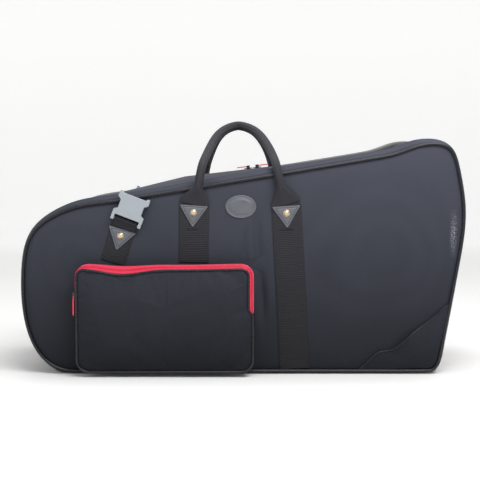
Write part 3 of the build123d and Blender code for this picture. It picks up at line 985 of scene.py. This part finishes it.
LEATHER_PROFILE = [(0, 0), (0, 1.7), (0.25, 2.1), (0.8, 2.4), (1.7, 2.45), (2.4, 2.4), (2.7, 1.9),
                   (3.1, 1.85),
                   (3.4, 2.4), (4.2, 2.75), (6.5, 2.95), (9, 3.0)]
CAP_PROFILE = [(0, 0), (0, 0.55), (0.25, 0.75), (0.7, 0.8), (0.85, 1.2), (1.3, 1.85), (2.0, 2.45),
               (3.0, 2.95),
               (4.1, 3.2), (5.0, 3.28)]


BADGE_PROFILE = [(0, 0), (0, 1.8), (0.3, 2.3), (1.0, 2.6), (2.4, 2.65), (2.8, 2.1), (3.3, 2.1), (3.7, 2.65),
                 (4.7, 2.8), (5.1, 2.35), (5.5, 2.35), (5.9, 2.85), (9, 3.05), (13, 3.1)]
NOTE_BARS = [((1.0, 1.1, 15.0), (1.4, 0, 1.0)), ((5.0, 1.1, 1.6), (3.6, 0, 7.2)),
             ((1.2, 1.1, 4.0), (5.6, 0, 5.4))]


def leather_triangle(half, place):
    """Leather patch: rubbed edge, sewn groove with its stitches and a swollen middle."""
    top, tilt = triangle_place(half, place)[:2]
    side = HALVES[half]
    turn = Matrix.Rotation(tilt, 3, "Y")
    seat = skin_y(half, top.x, top.z - 12 * MM) + side * 1.3 * MM
    at = Vector((top.x, seat, top.z))
    name = f"{half}_leather_{place}"
    piece = raised_patch(name, triangle_outline, LEATHER_PROFILE, "leather", half, at, tilt)
    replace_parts(piece, f"{half}_triangle_{place}")
    bm = bmesh.new()
    line = [at + turn @ Vector((x, side * 2.0 * MM, z)) for x, z in triangle_outline(2.9 * MM)]
    run = even(line, 84)
    for i in range(0, 84, 2):
        capsule(bm, run[i], run[i + 1], 0.42 * MM)
    belong(to_piece(bm, f"{half}_stitches_{place}", "thread"), "leather", body=SHELL_BODY[half])
    return top, tilt, seat


def capsule(bm, start, end, radius):
    """Small rounded thread stitch between two points."""
    run = end - start
    made = bmesh.ops.create_uvsphere(bm, u_segments=8, v_segments=5, radius=radius)["verts"]
    bmesh.ops.scale(bm, vec=(1, 1, run.length / 2 / radius), verts=made)
    turn = run.to_track_quat("Z", "Y").to_matrix().to_4x4()
    bmesh.ops.transform(bm, matrix=Matrix.Translation((start + end) / 2) @ turn, verts=made)


def oval_outline(wide, high, count):
    """Outline function of an oval with these half sizes."""
    def outline(inset):
        angles = [math.tau * k / count for k in range(count)]
        return [((wide - inset) * math.cos(a), (high - inset) * math.sin(a)) for a in angles]
    return outline


def make_leather():
    """Triangles and rivets on both halves."""
    for half, side in HALVES.items():
        bm = bmesh.new()
        for place in ("left", "right", "buckle"):
            top, tilt, seat = leather_triangle(half, place)
            drop = Matrix.Rotation(tilt, 4, "Y") @ Vector((0, 0, -12 * MM))
            at = Vector((top.x + drop.x, seat + side * 2.7 * MM, top.z + drop.z))
            raised_patch("", oval_outline(5.6 * MM, 5.6 * MM, 36), CAP_PROFILE, "brass", half, at, bm=bm)
        bmesh.ops.recalc_face_normals(bm, faces=bm.faces)
        piece = to_piece(bm, f"{half}_rivet_caps", "brass")
        belong(piece, "brass", f"{half}_rivets", body=SHELL_BODY[half])


def make_badge():
    """Oval leather badge with a sunk rim line and a plain raised note."""
    middle = (BADGE_LOW + BADGE_HIGH) / 2
    size = BADGE_HIGH - BADGE_LOW
    seat = skin_y("front", middle.x, middle.z) + 0.6 * MM

    oval = oval_outline(size.x / 2, size.z / 2, 72)
    at = Vector((middle.x, seat, middle.z))
    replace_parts(raised_patch("badge_oval", oval, BADGE_PROFILE, "leather", "front", at), "badge")
    top = seat - 3.0 * MM
    bm = bmesh.new()
    head = bmesh.ops.create_uvsphere(bm, u_segments=20, v_segments=10, radius=1.0)["verts"]
    bmesh.ops.scale(bm, vec=(3.3 * MM, 0.7 * MM, 2.5 * MM), verts=head)
    bmesh.ops.rotate(bm, matrix=Matrix.Rotation(math.radians(-20), 3, "Y"), verts=head)
    bmesh.ops.translate(bm, vec=(-1.5 * MM, 0, -6.5 * MM), verts=head)
    for box, at in NOTE_BARS:
        made = bmesh.ops.create_cube(bm, size=1.0)["verts"]
        bmesh.ops.scale(bm, vec=[v * MM for v in box], verts=made)
        bmesh.ops.translate(bm, vec=[v * MM for v in at], verts=made)
    bmesh.ops.translate(bm, vec=(middle.x, top, middle.z), verts=bm.verts)
    bmesh.ops.recalc_face_normals(bm, faces=bm.faces)
    note = to_piece(bm, "badge_note", "leather", smooth=False)
    modify(note, "BEVEL", width=0.3 * MM, segments=2)
    belong(note, "leather", body="case_front")


# ---------------------------------------------------------------- handles
def pivot_of(joint):
    """Where a joint's axis is."""
    return Vector(JOINTS[joint]["pos_m"])


HANDLE_ARCH = [(0.0, 0.0), (0.035, 0.16), (0.095, 0.42), (0.175, 0.70), (0.29, 0.90), (0.45, 0.995),
               (0.53, 0.995), (0.70, 0.90), (0.82, 0.70), (0.915, 0.42), (0.975, 0.16), (1.0, 0.0)]


def smooth_path(points):
    """Points along a NURBS curve through or near the given ones."""
    curve = bpy.data.curves.new("handle_path", "CURVE")
    curve.dimensions = "3D"
    spline = curve.splines.new("NURBS")
    spline.points.add(len(points) - 1)
    for target, point in zip(spline.points, points):
        target.co = (*point, 1)
    spline.order_u = 4
    spline.use_endpoint_u = True
    spline.resolution_u = 10
    holder = bpy.data.objects.new("handle_path", curve)
    bpy.context.scene.collection.objects.link(holder)
    depsgraph = bpy.context.evaluated_depsgraph_get()
    path_mesh = bpy.data.meshes.new_from_object(holder.evaluated_get(depsgraph), depsgraph=depsgraph)
    line = [v.co.copy() for v in path_mesh.vertices]
    bpy.data.objects.remove(holder)
    bpy.data.curves.remove(curve)
    return line


def make_handle(half):
    """Webbing gathered into a roll, from one foot over the arch to the other."""
    side = HALVES[half]
    pivot = pivot_of(f"{half}_handle_swing")
    co = [v.co for v in frame["nodes"][f"{half}_handle"].data.vertices]
    low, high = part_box(f"{half}_handle")
    radius = 7.0 * MM
    left_x = low.x + radius
    span = high.x - radius - left_x
    reach = max(abs(pivot.y - v.y) for v in co) - radius
    rise = max(v.z for v in co) - radius - pivot.z
    lean = Vector((0, -side * reach, rise))

    def arch(x_share, s_share):
        return Vector((left_x + x_share * span, pivot.y, pivot.z)) + lean * s_share

    foot_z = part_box(f"{half}_handle_foot_left")[0].z
    flat_y = side * (max(abs(corner.y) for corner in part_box(f"{half}_webbing_left")) + 0.4 * MM)

    def foot(name, pivot_x):
        foot_x = triangle_place(half, name)[0].x
        base = Vector((foot_x, flat_y, foot_z - 4 * MM))
        neck = Vector((pivot_x * 0.62 + foot_x * 0.38, pivot.y - side * 1.0 * MM, foot_z + 30 * MM))
        return [base, base.lerp(neck, 0.45) + Vector((0, -side * 1.0 * MM, 0)), neck]

    points = foot("left", left_x)
    points += [arch(*shares) for shares in HANDLE_ARCH]
    points += foot("right", high.x - radius)[::-1]
    line = even(smooth_path(points), 190, closed=False)
    along = distances(line)
    total = along[-1]
    bm = bmesh.new()
    bm.loops.layers.uv.new("UVMap")
    rows = []
    for i, (point, walked) in enumerate(zip(line, along)):
        before, after = line[max(i - 1, 0)], line[min(i + 1, len(line) - 1)]
        forward = (after - before).normalized()
        outward = Vector((0, side, 0))
        outward = (outward - forward * outward.dot(forward)).normalized()
        across = forward.cross(outward)
        spread = smooth(1 - min(walked, total - walked) / (38 * MM))
        half_wide = radius * (1 - spread) + 25 * MM * spread
        half_thick = radius * (1 - spread) + 1.3 * MM * spread
        grip = math.exp(-(((walked / total) - 0.5) / 0.22) ** 4)
        half_wide *= 1 + 0.05 * grip
        fold = spread * (1 - spread) * 4
        ring = bmesh.ops.create_circle(bm, segments=24, radius=1.0)["verts"]
        for vert in ring:
            angle = math.atan2(vert.co.y, vert.co.x)
            off_seam = (((angle + math.pi * 0.5) % math.tau) - math.pi) / 0.20
            groove = 1 - 0.20 * math.exp(-off_seam ** 2) * (1 - spread)
            pleat = 1 + 0.22 * fold * math.cos(angle * 5 + 0.6)
            square = 1 + 0.06 * math.cos(4 * angle)
            x, y = vert.co.x * square, vert.co.y * square
            vert.co = point + across * (x * half_wide * groove) + outward * (y * half_thick * groove * pleat)
        rows.append(ring)
    skin_rings(bm, rows, 44 * MM, along)
    piece = to_piece(bm, f"{half}_carry_handle", "roll")
    modify(piece, "SUBSURF", levels=1, render_levels=1)
    settle(piece)
    piece.data.shade_smooth()
    belong(piece, "webbing", f"{half}_handle", f"{half}_handle_foot_left", f"{half}_handle_foot_right")
    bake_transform(piece)


def make_bar_tacks():
    """Dense sewn bars across the webbing under each triangle and over each foot."""
    for half, side in HALVES.items():
        bm = bmesh.new()
        for place in ("left", "right"):
            tip = triangle_place(half, place)[2]
            for z in (tip.z - 5.5 * MM, tip.z - 7.3 * MM):
                for i in range(17):
                    x = tip.x + (i - 8) * 1.25 * MM
                    at = Vector((x, skin_y(half, x, z) + side * 2.0 * MM, z))
                    slant = Vector((0.5, 0, 0.6)) * MM
                    capsule(bm, at - slant, at + slant, 0.5 * MM)
        belong(to_piece(bm, f"{half}_bar_tacks", "thread"), "webbing", body=SHELL_BODY[half])


# ---------------------------------------------------------------- buckle loops
def make_buckle_loop(half):
    """Webbing folded round the buckle's bar, its two layers sewn to the anchor webbing."""
    side = HALVES[half]
    joint = JOINTS[f"{half}_buckle_flop"]
    pivot = Vector(joint["pos_m"])
    across = Vector(joint["axis"]).normalized() * -side
    down = Vector((0, side, 0)).cross(across).normalized()
    if down.z > 0:
        down = -down
    thick = STRAP_THICK
    width = 40 * MM
    mid = 2.7 * MM + thick / 2
    standoff = abs(pivot.y) - abs(skin_y(half, pivot.x, pivot.z))
    path = [(14 * MM, -standoff + 2.2 * MM), (11 * MM, -standoff + 2.4 * MM), (7 * MM, -standoff * 0.55)]
    for k in range(13):
        angle = math.radians(-70 - k * 220 / 12)
        path.append((mid * math.cos(angle), mid * math.sin(angle)))
    path += [(7 * MM, -standoff * 0.55 + thick + 1.4 * MM), (11 * MM, -standoff + 5.2 * MM),
             (14 * MM, -standoff + 4.4 * MM)]
    bm = bmesh.new()
    line = [pivot + down * d + Vector((0, side, 0)) * out for d, out in path]
    first = [p - across * width / 2 for p in line]
    verts, edges = loop_of(bm, first, closed=False)
    columns = 12
    for k in range(1, columns + 1):
        points = [p + across * width / columns * k for p in first]
        verts, edges = grow_row(bm, verts, edges, points)
    along = distances(line)
    flat = {}
    for vert in bm.verts:
        off = (vert.co - pivot).dot(across)
        centre = vert.co - across * off
        index = min(range(len(line)), key=lambda i: (line[i] - centre).length)
        flat[vert] = (off + width / 2, along[index])
    paint_uv(bm, flat)
    bmesh.ops.recalc_face_normals(bm, faces=bm.faces)
    piece = to_piece(bm, f"{half}_buckle_webbing", "webbing")
    thicken(piece, thick * 0.92, offset=0, finer=True)
    belong(piece, "webbing", f"{half}_buckle_loop", body=SHELL_BODY[half])


# ---------------------------------------------------------------- pocket
def rounded(low_x, high_x, low_z, high_z, radius, count):
    """Evenly spaced points round a rectangle with rounded corners."""
    points = []
    left, right, bottom, top = low_x + radius, high_x - radius, low_z + radius, high_z - radius
    for cx, cz, start in ((right, top, 0), (left, top, 90), (left, bottom, 180), (right, bottom, 270)):
        for k in range(9):
            angle = math.radians(start + k * 90 / 8)
            points.append(Vector((cx + radius * math.cos(angle), 0, cz + radius * math.sin(angle))))
    return even(points, count)


def pocket_dip(x):
    """How far the pocket's top edge sags, by place along it."""
    share = (x - POCKET_LOW.x) / (POCKET_HIGH.x - POCKET_LOW.x)
    deep = 4.0 * MM * math.exp(-((share - 0.27) / 0.14) ** 2)
    return -deep - 2.0 * MM * math.exp(-((share - 0.6) / 0.25) ** 2)


ZIP_END = 0.3


def pocket_rim(sizes, count=280):
    """Places round the pocket: outer edge, outward direction, zip width and openness."""
    low, high = POCKET_LOW, POCKET_HIGH
    fold_z = JOINTS["pocket_flap_opening"]["pos_m"][2]
    line = rounded(low.x, high.x, low.z, high.z, sizes.corner, count)
    dip_x = low.x + 0.25 * (high.x - low.x)
    rim = []
    for i, p in enumerate(line):
        out = outward(line, i)
        top = max(0.0, out.z) ** 2
        right = max(0.0, out.x) ** 2
        opened = smooth((p.z - fold_z) / (13 * MM))
        bulge = 5.5 * MM * math.exp(-((p.x - dip_x) / (45 * MM)) ** 2)
        band = (top * (7.2 * MM + bulge) + right * 7.0 * MM) * opened
        place = Vector((p.x, 0, p.z + pocket_dip(p.x) * top))
        rim.append((place, out, band, opened))
    start = next(i for i in range(count) if rim[i - 1][3] <= ZIP_END < rim[i][3] and rim[i][1].x > 0.5)
    return rim[start:] + rim[:start]


def on_tape(place, out, band, face_y, share, rise):
    """Point of the pocket's zip tape between its outer edge (0) and inner edge (1), lifted by rise."""
    p = (place + out * 1.0 * MM).lerp(place + out * (0.6 * MM - band), share)
    p.y = face_y + (8.6 - 7.6 * share) * MM
    return p + (out * 0.7 + Vector((0, -0.7, 0))) * rise


def pocket_strip(name, rim, face_y, low_share, high_share):
    """Part of the pocket's zip tape, from one share of its width to another."""
    def row(share):
        arch = 0.7 * MM * math.sin(math.pi * share)
        return [on_tape(place, out, band, face_y, share, arch) for place, out, band, _ in rim]

    bm = bmesh.new()
    verts, edges = loop_of(bm, row(low_share), closed=False)
    for k in range(1, 4):
        verts, edges = grow_row(bm, verts, edges, row(low_share + (high_share - low_share) * k / 3))
    middle = (POCKET_LOW + POCKET_HIGH) / 2
    face_out(bm, away=Vector((middle.x, 0, middle.z)))
    piece = to_piece(bm, name, "zip_tape")
    thicken(piece, 0.9 * MM)
    return belong(piece, "zip_tape")


def pocket_teeth(name, rim, face_y, share, first):
    """Every other tooth of the pocket's zip, along one side of its middle."""
    points = [on_tape(place, out, band, face_y, share, 1.1 * MM) for place, out, band, _ in rim]
    points = even(points, 210, closed=False)
    bm = bmesh.new()
    for i in range(1 + first, 209, 2):
        run = (points[i + 1] - points[i - 1]).normalized()
        up = Vector((0, -1, 0)) + Vector((run.z, 0, -run.x))
        up = (up - run * up.dot(run)).normalized()
        tooth(bm, points[i], frame_of(run, up.cross(run), up), 1.4 * MM, 2.2 * MM, 1.0 * MM)
    return tooth_row(bm, name)


def make_pocket(sizes):
    """Pocket: gusset, swollen face over the fold line, piping and its zip."""
    low, high = POCKET_LOW, POCKET_HIGH
    face_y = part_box("pocket_flap")[0].y
    rim = pocket_rim(sizes)
    middle = Vector(((low.x + high.x) / 2, 0, (low.z + high.z) / 2))

    bm = bmesh.new()
    rows = 12

    def gusset_row(share):
        points = []
        for place, out, _, opened in rim:
            front = face_y + 1.0 * MM + 7.4 * MM * opened
            pinch = -1.8 * MM * math.sin(math.pi * share) * (0.6 + 0.6 * noise.noise(place * 20))
            points.append(place + out * pinch)
            points[-1].y = front + (high.y - front) * share
        return points

    verts, edges = loop_of(bm, gusset_row(0))
    for row in range(1, rows + 1):
        verts, edges = grow_row(bm, verts, edges, gusset_row(row / rows))
    face_out(bm, away=Vector((middle.x, (face_y + high.y) / 2, middle.z)))
    piece = to_piece(bm, "pocket_side", "plain_nylon")
    thicken(piece, 2.0 * MM)
    belong(piece, "nylon", "pocket_gusset", body="case_front")

    edge = [place - out * (band + 0.4 * MM) for place, out, band, _ in rim]
    rings = 30

    def face_row(share):
        points = []
        for start in edge:
            p = start.lerp(middle, share)
            depth_in = (p - start).length
            swell = sizes.puff * (1 - math.exp(-depth_in / (24 * MM))) * 0.62
            swell += 1.0 * MM * noise.noise(Vector((p.x * 16, 1.7, p.z * 16)))
            swell += hill(p.x, p.z, low.x + 80 * MM, high.z - 22 * MM, 34 * MM, 20 * MM, -3.5 * MM)
            swell += hill(p.x, p.z, low.x + 190 * MM, low.z + 75 * MM, 90 * MM, 45 * MM, 2.0 * MM)
            fall = math.exp(-depth_in / (3 * MM))
            p.y = face_y - swell * (1 - fall) + 0.6 * MM * fall
            points.append(p)
        return points

    bm = bmesh.new()
    verts, edges = loop_of(bm, face_row(0))
    for ring in range(1, rings + 1):
        verts, edges = grow_row(bm, verts, edges, face_row(0.9 * (ring / rings) ** 1.15))
    cap = bm.faces.new(verts)
    bmesh.ops.poke(bm, faces=[cap])
    face_out(bm, away=Vector((middle.x, 0, middle.z)))
    piece = to_piece(bm, "pocket_face", "plain_nylon")
    inflate(piece, len(edge), 3.0, 6 * MM, stretch=0.012)
    modify(piece, "SMOOTH", factor=0.5, iterations=2)
    thicken(piece, 1.8 * MM)
    belong(piece, "nylon", "pocket_face_lower", "pocket_flap")
    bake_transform(piece)

    cord = [p + Vector((0, face_y - 0.6 * MM, 0)) for p in edge]
    piece = tube("pocket_piping", cord, sizes.piping_radius, closed=True)
    belong(piece, "piping", "pocket_piping_lower", "pocket_flap_piping")
    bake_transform(piece)

    opened = [place for place in rim if place[3] > ZIP_END]
    piece = pocket_strip("pocket_zip_outer", opened, face_y, 0.0, 0.47)
    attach(piece, "case_front")
    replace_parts(piece, "pocket_zip_tape")
    piece = pocket_strip("pocket_zip_inner", opened, face_y, 0.53, 1.0)
    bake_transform(piece)
    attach(pocket_teeth("pocket_teeth_outer", opened, face_y, 0.44, 0), "case_front")
    piece = pocket_teeth("pocket_teeth_inner", opened, face_y, 0.56, 1)
    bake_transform(piece)


def hem_wave(u):
    """How far the slip pocket's loose edge strays from a straight line, in z."""
    wave = 8.0 * MM * math.sin(u * 11.0 - 0.4) * math.exp(-((u - 0.24) / 0.22) ** 2)
    return wave - 4.5 * MM * math.sin(math.pi * u)


def hem_gape(u):
    """How far the slip pocket's loose edge stands off the panel."""
    return math.sin(math.pi * u) * (7.5 + 4.0 * math.sin(u * 14.0 + 0.5)) * MM


def make_corner_pocket():
    """Slip pocket over the lower bell corner, its top edge standing a little open."""
    low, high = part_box("corner_pocket")
    start = Vector((low.x, 0, low.z))
    end = Vector((high.x, 0, high.z))
    bm = bmesh.new()
    bmesh.ops.create_grid(bm, x_segments=60, y_segments=26, size=0.5)
    path = [p for p in even(seam_line("front"), 700) if p.x > low.x - 5 * MM and p.z < high.z + 8 * MM]
    path.sort(key=lambda p: math.atan2(p.z - high.z - 50 * MM, p.x - low.x))
    path = even([Vector((p.x, 0, p.z)) for p in path], 120, closed=False)

    def border(share):
        """Lower border: along the bottom seam, round the corner and up the raked end."""
        position = share * (len(path) - 1)
        k = min(int(position), len(path) - 2)
        return path[k].lerp(path[k + 1], position - k)

    def loose_edge(u):
        top = start.lerp(end, u)
        top.z += hem_wave(u)
        return top

    middle = Vector((low.x + (high.x - low.x) * 0.6, 0, low.z + 30 * MM))
    for vert in bm.verts:
        u = vert.co.x + 0.5
        v = vert.co.y + 0.5
        bottom = border(u)
        bottom = bottom + (middle - bottom).normalized() * 3.2 * MM
        p = bottom.lerp(loose_edge(u), v)
        open_up = v ** 3 * hem_gape(u)
        bag = 2.2 * MM * math.sin(math.pi * u) * math.sin(math.pi * min(1.0, v * 1.05))
        dimple = 1.5 * MM * noise.noise(Vector(((p.x - p.z * 0.7) * 34, 0, (p.z + p.x * 0.7) * 12)))
        p.y = skin_y("front", p.x, p.z) - 1.0 * MM - open_up - bag - dimple * math.sin(math.pi * u)
        vert.co = p
    face_out(bm, away=Vector((0, 0, 0.1)))
    cut_area = sum(face.calc_area() for face in bm.faces)
    piece = to_piece(bm, "slip_pocket", "nylon")
    thicken(piece, 1.0 * MM, offset=0)
    belong(piece, "nylon", "corner_pocket", body="case_front")
    hem = []
    for k in range(61):
        top = loose_edge(k / 60)
        top.y = skin_y("front", top.x, top.z) - 1.0 * MM - hem_gape(k / 60)
        hem.append(top)
    belong(tube("slip_pocket_hem", hem, 1.1 * MM, sides=8), "piping", body="case_front")


# ---------------------------------------------------------------- inside
def make_inside():
    """Retaining strap on the lining and the foam block under the bell."""
    low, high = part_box("retaining_strap")
    bm = bmesh.new()
    bmesh.ops.create_grid(bm, x_segments=10, y_segments=60, size=0.5)
    width, length = high.x - low.x, high.z - low.z
    flat = {}
    for vert in bm.verts:
        u, v = vert.co.x * width, (vert.co.y + 0.5) * length
        flat[vert] = (u, v)
        bow = 1.2 * MM * math.sin(math.pi * v / length) + 0.6 * MM * math.sin(v * 60)
        vert.co = Vector(((low.x + high.x) / 2 + u, high.y - 1.0 * MM + bow, low.z + v))
    paint_uv(bm, flat)
    piece = to_piece(bm, "hold_down_strap", "webbing")
    thicken(piece, STRAP_THICK, offset=0)
    belong(piece, "webbing", "retaining_strap", body="case_front")
    pad = merged_copy("bell_rest", "bell_pad")
    round_off(pad, 4 * MM, 8)
    wear(pad, "lining")
    pad.data.shade_smooth()
    belong(pad, "foam", "bell_pad", body="case_front")


# ---------------------------------------------------------------- stage
def point_at(data, place, target):
    """Put a light or a camera in the scene, turned to its target."""
    holder = bpy.data.objects.new(data.name, data)
    bpy.context.scene.collection.objects.link(holder)
    holder.location = place
    holder.rotation_mode = "QUATERNION"
    holder.rotation_quaternion = (Vector(target) - Vector(place)).to_track_quat("-Z", "Y")
    return holder


def area_light(name, place, target, size, power):
    light = bpy.data.lights.new(name, "AREA")
    light.shape = "RECTANGLE"
    light.size, light.size_y = size
    light.energy = power
    point_at(light, place, target)


def make_stage():
    """Pale sweep, soft lights and the camera in front."""
    bm = bmesh.new()
    radius, sweep, rim = 6.0, 1.2, 2.2
    flat = radius - sweep
    profile = [Vector((x, 0, 0)) for x in (0, 1.5, 3.0, flat)]
    for k in range(1, 9):
        angle = math.radians(k * 90 / 8)
        profile.append(Vector((flat + sweep * math.sin(angle), 0, sweep - sweep * math.cos(angle))))
    profile.append(Vector((radius, 0, rim)))
    verts, edges = loop_of(bm, profile, closed=False)
    bmesh.ops.spin(bm, geom=verts + edges, cent=(0, 0, 0), axis=(0, 0, 1), angle=math.tau, steps=64,
                   use_merge=True)
    bmesh.ops.remove_doubles(bm, verts=bm.verts, dist=0.01 * MM)
    face_out(bm, away=Vector((0, 0, -1)))
    floor = to_piece(bm, "studio_sweep", "floor")
    floor.data.transform(Matrix.Translation((0, 0, CAD_LOW.z - 0.4 * MM)))
    area_light("key", (0.45, -1.15, 1.55), (0.05, -0.1, 0.25), (1.3, 0.8), 30)
    area_light("fill", (-1.9, -1.7, 1.5), (0, 0, 0.2), (1.6, 1.4), 12)
    area_light("top", (0.2, 0.5, 2.1), (0, 0.1, 0.2), (2.4, 1.5), 28)
    world = bpy.data.worlds.new("studio")
    bpy.context.scene.world = world
    world.use_nodes = True
    sky = world.node_tree.nodes["Background"].inputs
    sky["Color"].default_value = (1, 1, 1, 1)
    sky["Strength"].default_value = 0.47
    bpy.context.scene.view_settings.view_transform = "Standard"
    camera = bpy.data.cameras.new("camera")
    plane_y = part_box("front_panel_fabric")[0].y
    distance = 2.05
    wide = 0.8035
    camera.sensor_width = 36
    camera.lens = camera.sensor_width * distance / wide
    place = (-0.005, plane_y - distance, 0.36)
    bpy.context.scene.camera = point_at(camera, place, (-0.005, plane_y, 0.226))


# ---------------------------------------------------------------- operators
class BagOperator:
    """Shared by the operators below."""

    bl_options = {"REGISTER", "UNDO"}


class BAG_OT_finishes(BagOperator, bpy.types.Operator):
    """Mix the cloth, leather, metal and plastic finishes"""

    bl_idname = "bag.finishes"
    bl_label = "Finishes"

    def execute(self, context):
        mix_finishes()
        paint_frame()
        return {"FINISHED"}


class BAG_OT_shell(BagOperator, bpy.types.Operator):
    """Build the padded panels, gussets, base and piping"""

    bl_idname = "bag.shell"
    bl_label = "Padded shell"

    def execute(self, context):
        sizes = context.scene.case_sizes
        for half in HALVES:
            make_panel(half, sizes)
            make_gusset(half, sizes)
        make_piping(sizes)
        make_base()
        return {"FINISHED"}


class BAG_OT_pocket(BagOperator, bpy.types.Operator):
    """Build the zipped front pocket and the corner slip pocket"""

    bl_idname = "bag.pocket"
    bl_label = "Pockets"

    def execute(self, context):
        make_pocket(context.scene.pocket_sizes)
        make_corner_pocket()
        return {"FINISHED"}


class BAG_OT_straps(BagOperator, bpy.types.Operator):
    """Lay the webbing on both panels and fold it round the buckles"""

    bl_idname = "bag.straps"
    bl_label = "Webbing"

    def execute(self, context):
        make_straps(context.scene.webbing_sizes)
        for half in HALVES:
            make_buckle_loop(half)
        make_bar_tacks()
        return {"FINISHED"}


class BAG_OT_leather(BagOperator, bpy.types.Operator):
    """Cut the leather triangles, the badge and the rivet caps"""

    bl_idname = "bag.leather"
    bl_label = "Leather and rivets"

    def execute(self, context):
        make_leather()
        make_badge()
        return {"FINISHED"}


class BAG_OT_handles(BagOperator, bpy.types.Operator):
    """Roll the two carrying handles"""

    bl_idname = "bag.handles"
    bl_label = "Handles"

    def execute(self, context):
        for half in HALVES:
            make_handle(half)
        return {"FINISHED"}


class BAG_OT_zip(BagOperator, bpy.types.Operator):
    """Set the teeth of the main zip"""

    bl_idname = "bag.zip"
    bl_label = "Zip teeth"

    def execute(self, context):
        make_main_teeth()
        return {"FINISHED"}


class BAG_OT_inside(BagOperator, bpy.types.Operator):
    """Build the strap and pad inside the case"""

    bl_idname = "bag.inside"
    bl_label = "Inside"

    def execute(self, context):
        make_inside()
        return {"FINISHED"}


class BAG_OT_stage(BagOperator, bpy.types.Operator):
    """Set the pale sweep, the lights and the camera"""

    bl_idname = "bag.stage"
    bl_label = "Stage"

    def execute(self, context):
        make_stage()
        return {"FINISHED"}


class BAG_PT_panel(bpy.types.Panel):
    """Buttons and sizes in the sidebar"""

    bl_label = "Tuba Bag"
    bl_space_type = "VIEW_3D"
    bl_region_type = "UI"
    bl_category = "Tuba Bag"

    def draw(self, context):
        for operator in OPERATORS:
            self.layout.operator(operator.bl_idname)
        for group in (context.scene.case_sizes, context.scene.pocket_sizes, context.scene.webbing_sizes):
            box = self.layout.box()
            for name in group.bl_rna.properties.keys():
                if name not in {"rna_type", "name"}:
                    box.prop(group, name)


OPERATORS = (
    BAG_OT_finishes, BAG_OT_shell, BAG_OT_pocket, BAG_OT_straps, BAG_OT_leather,
    BAG_OT_handles, BAG_OT_zip, BAG_OT_inside, BAG_OT_stage,
)
CLASSES = (CaseSizes, PocketSizes, WebbingSizes, *OPERATORS, BAG_PT_panel)


def register():
    for cls in CLASSES:
        bpy.utils.register_class(cls)
    bpy.types.Scene.case_sizes = PointerProperty(type=CaseSizes)
    bpy.types.Scene.pocket_sizes = PointerProperty(type=PocketSizes)
    bpy.types.Scene.webbing_sizes = PointerProperty(type=WebbingSizes)


def unregister():
    del bpy.types.Scene.case_sizes
    del bpy.types.Scene.pocket_sizes
    del bpy.types.Scene.webbing_sizes
    for cls in reversed(CLASSES):
        bpy.utils.unregister_class(cls)


def main():
    """Build the bag."""
    register()
    for operator in OPERATORS:
        getattr(bpy.ops.bag, operator.bl_idname.split(".")[1])()


if __name__ == "__main__":
    main()
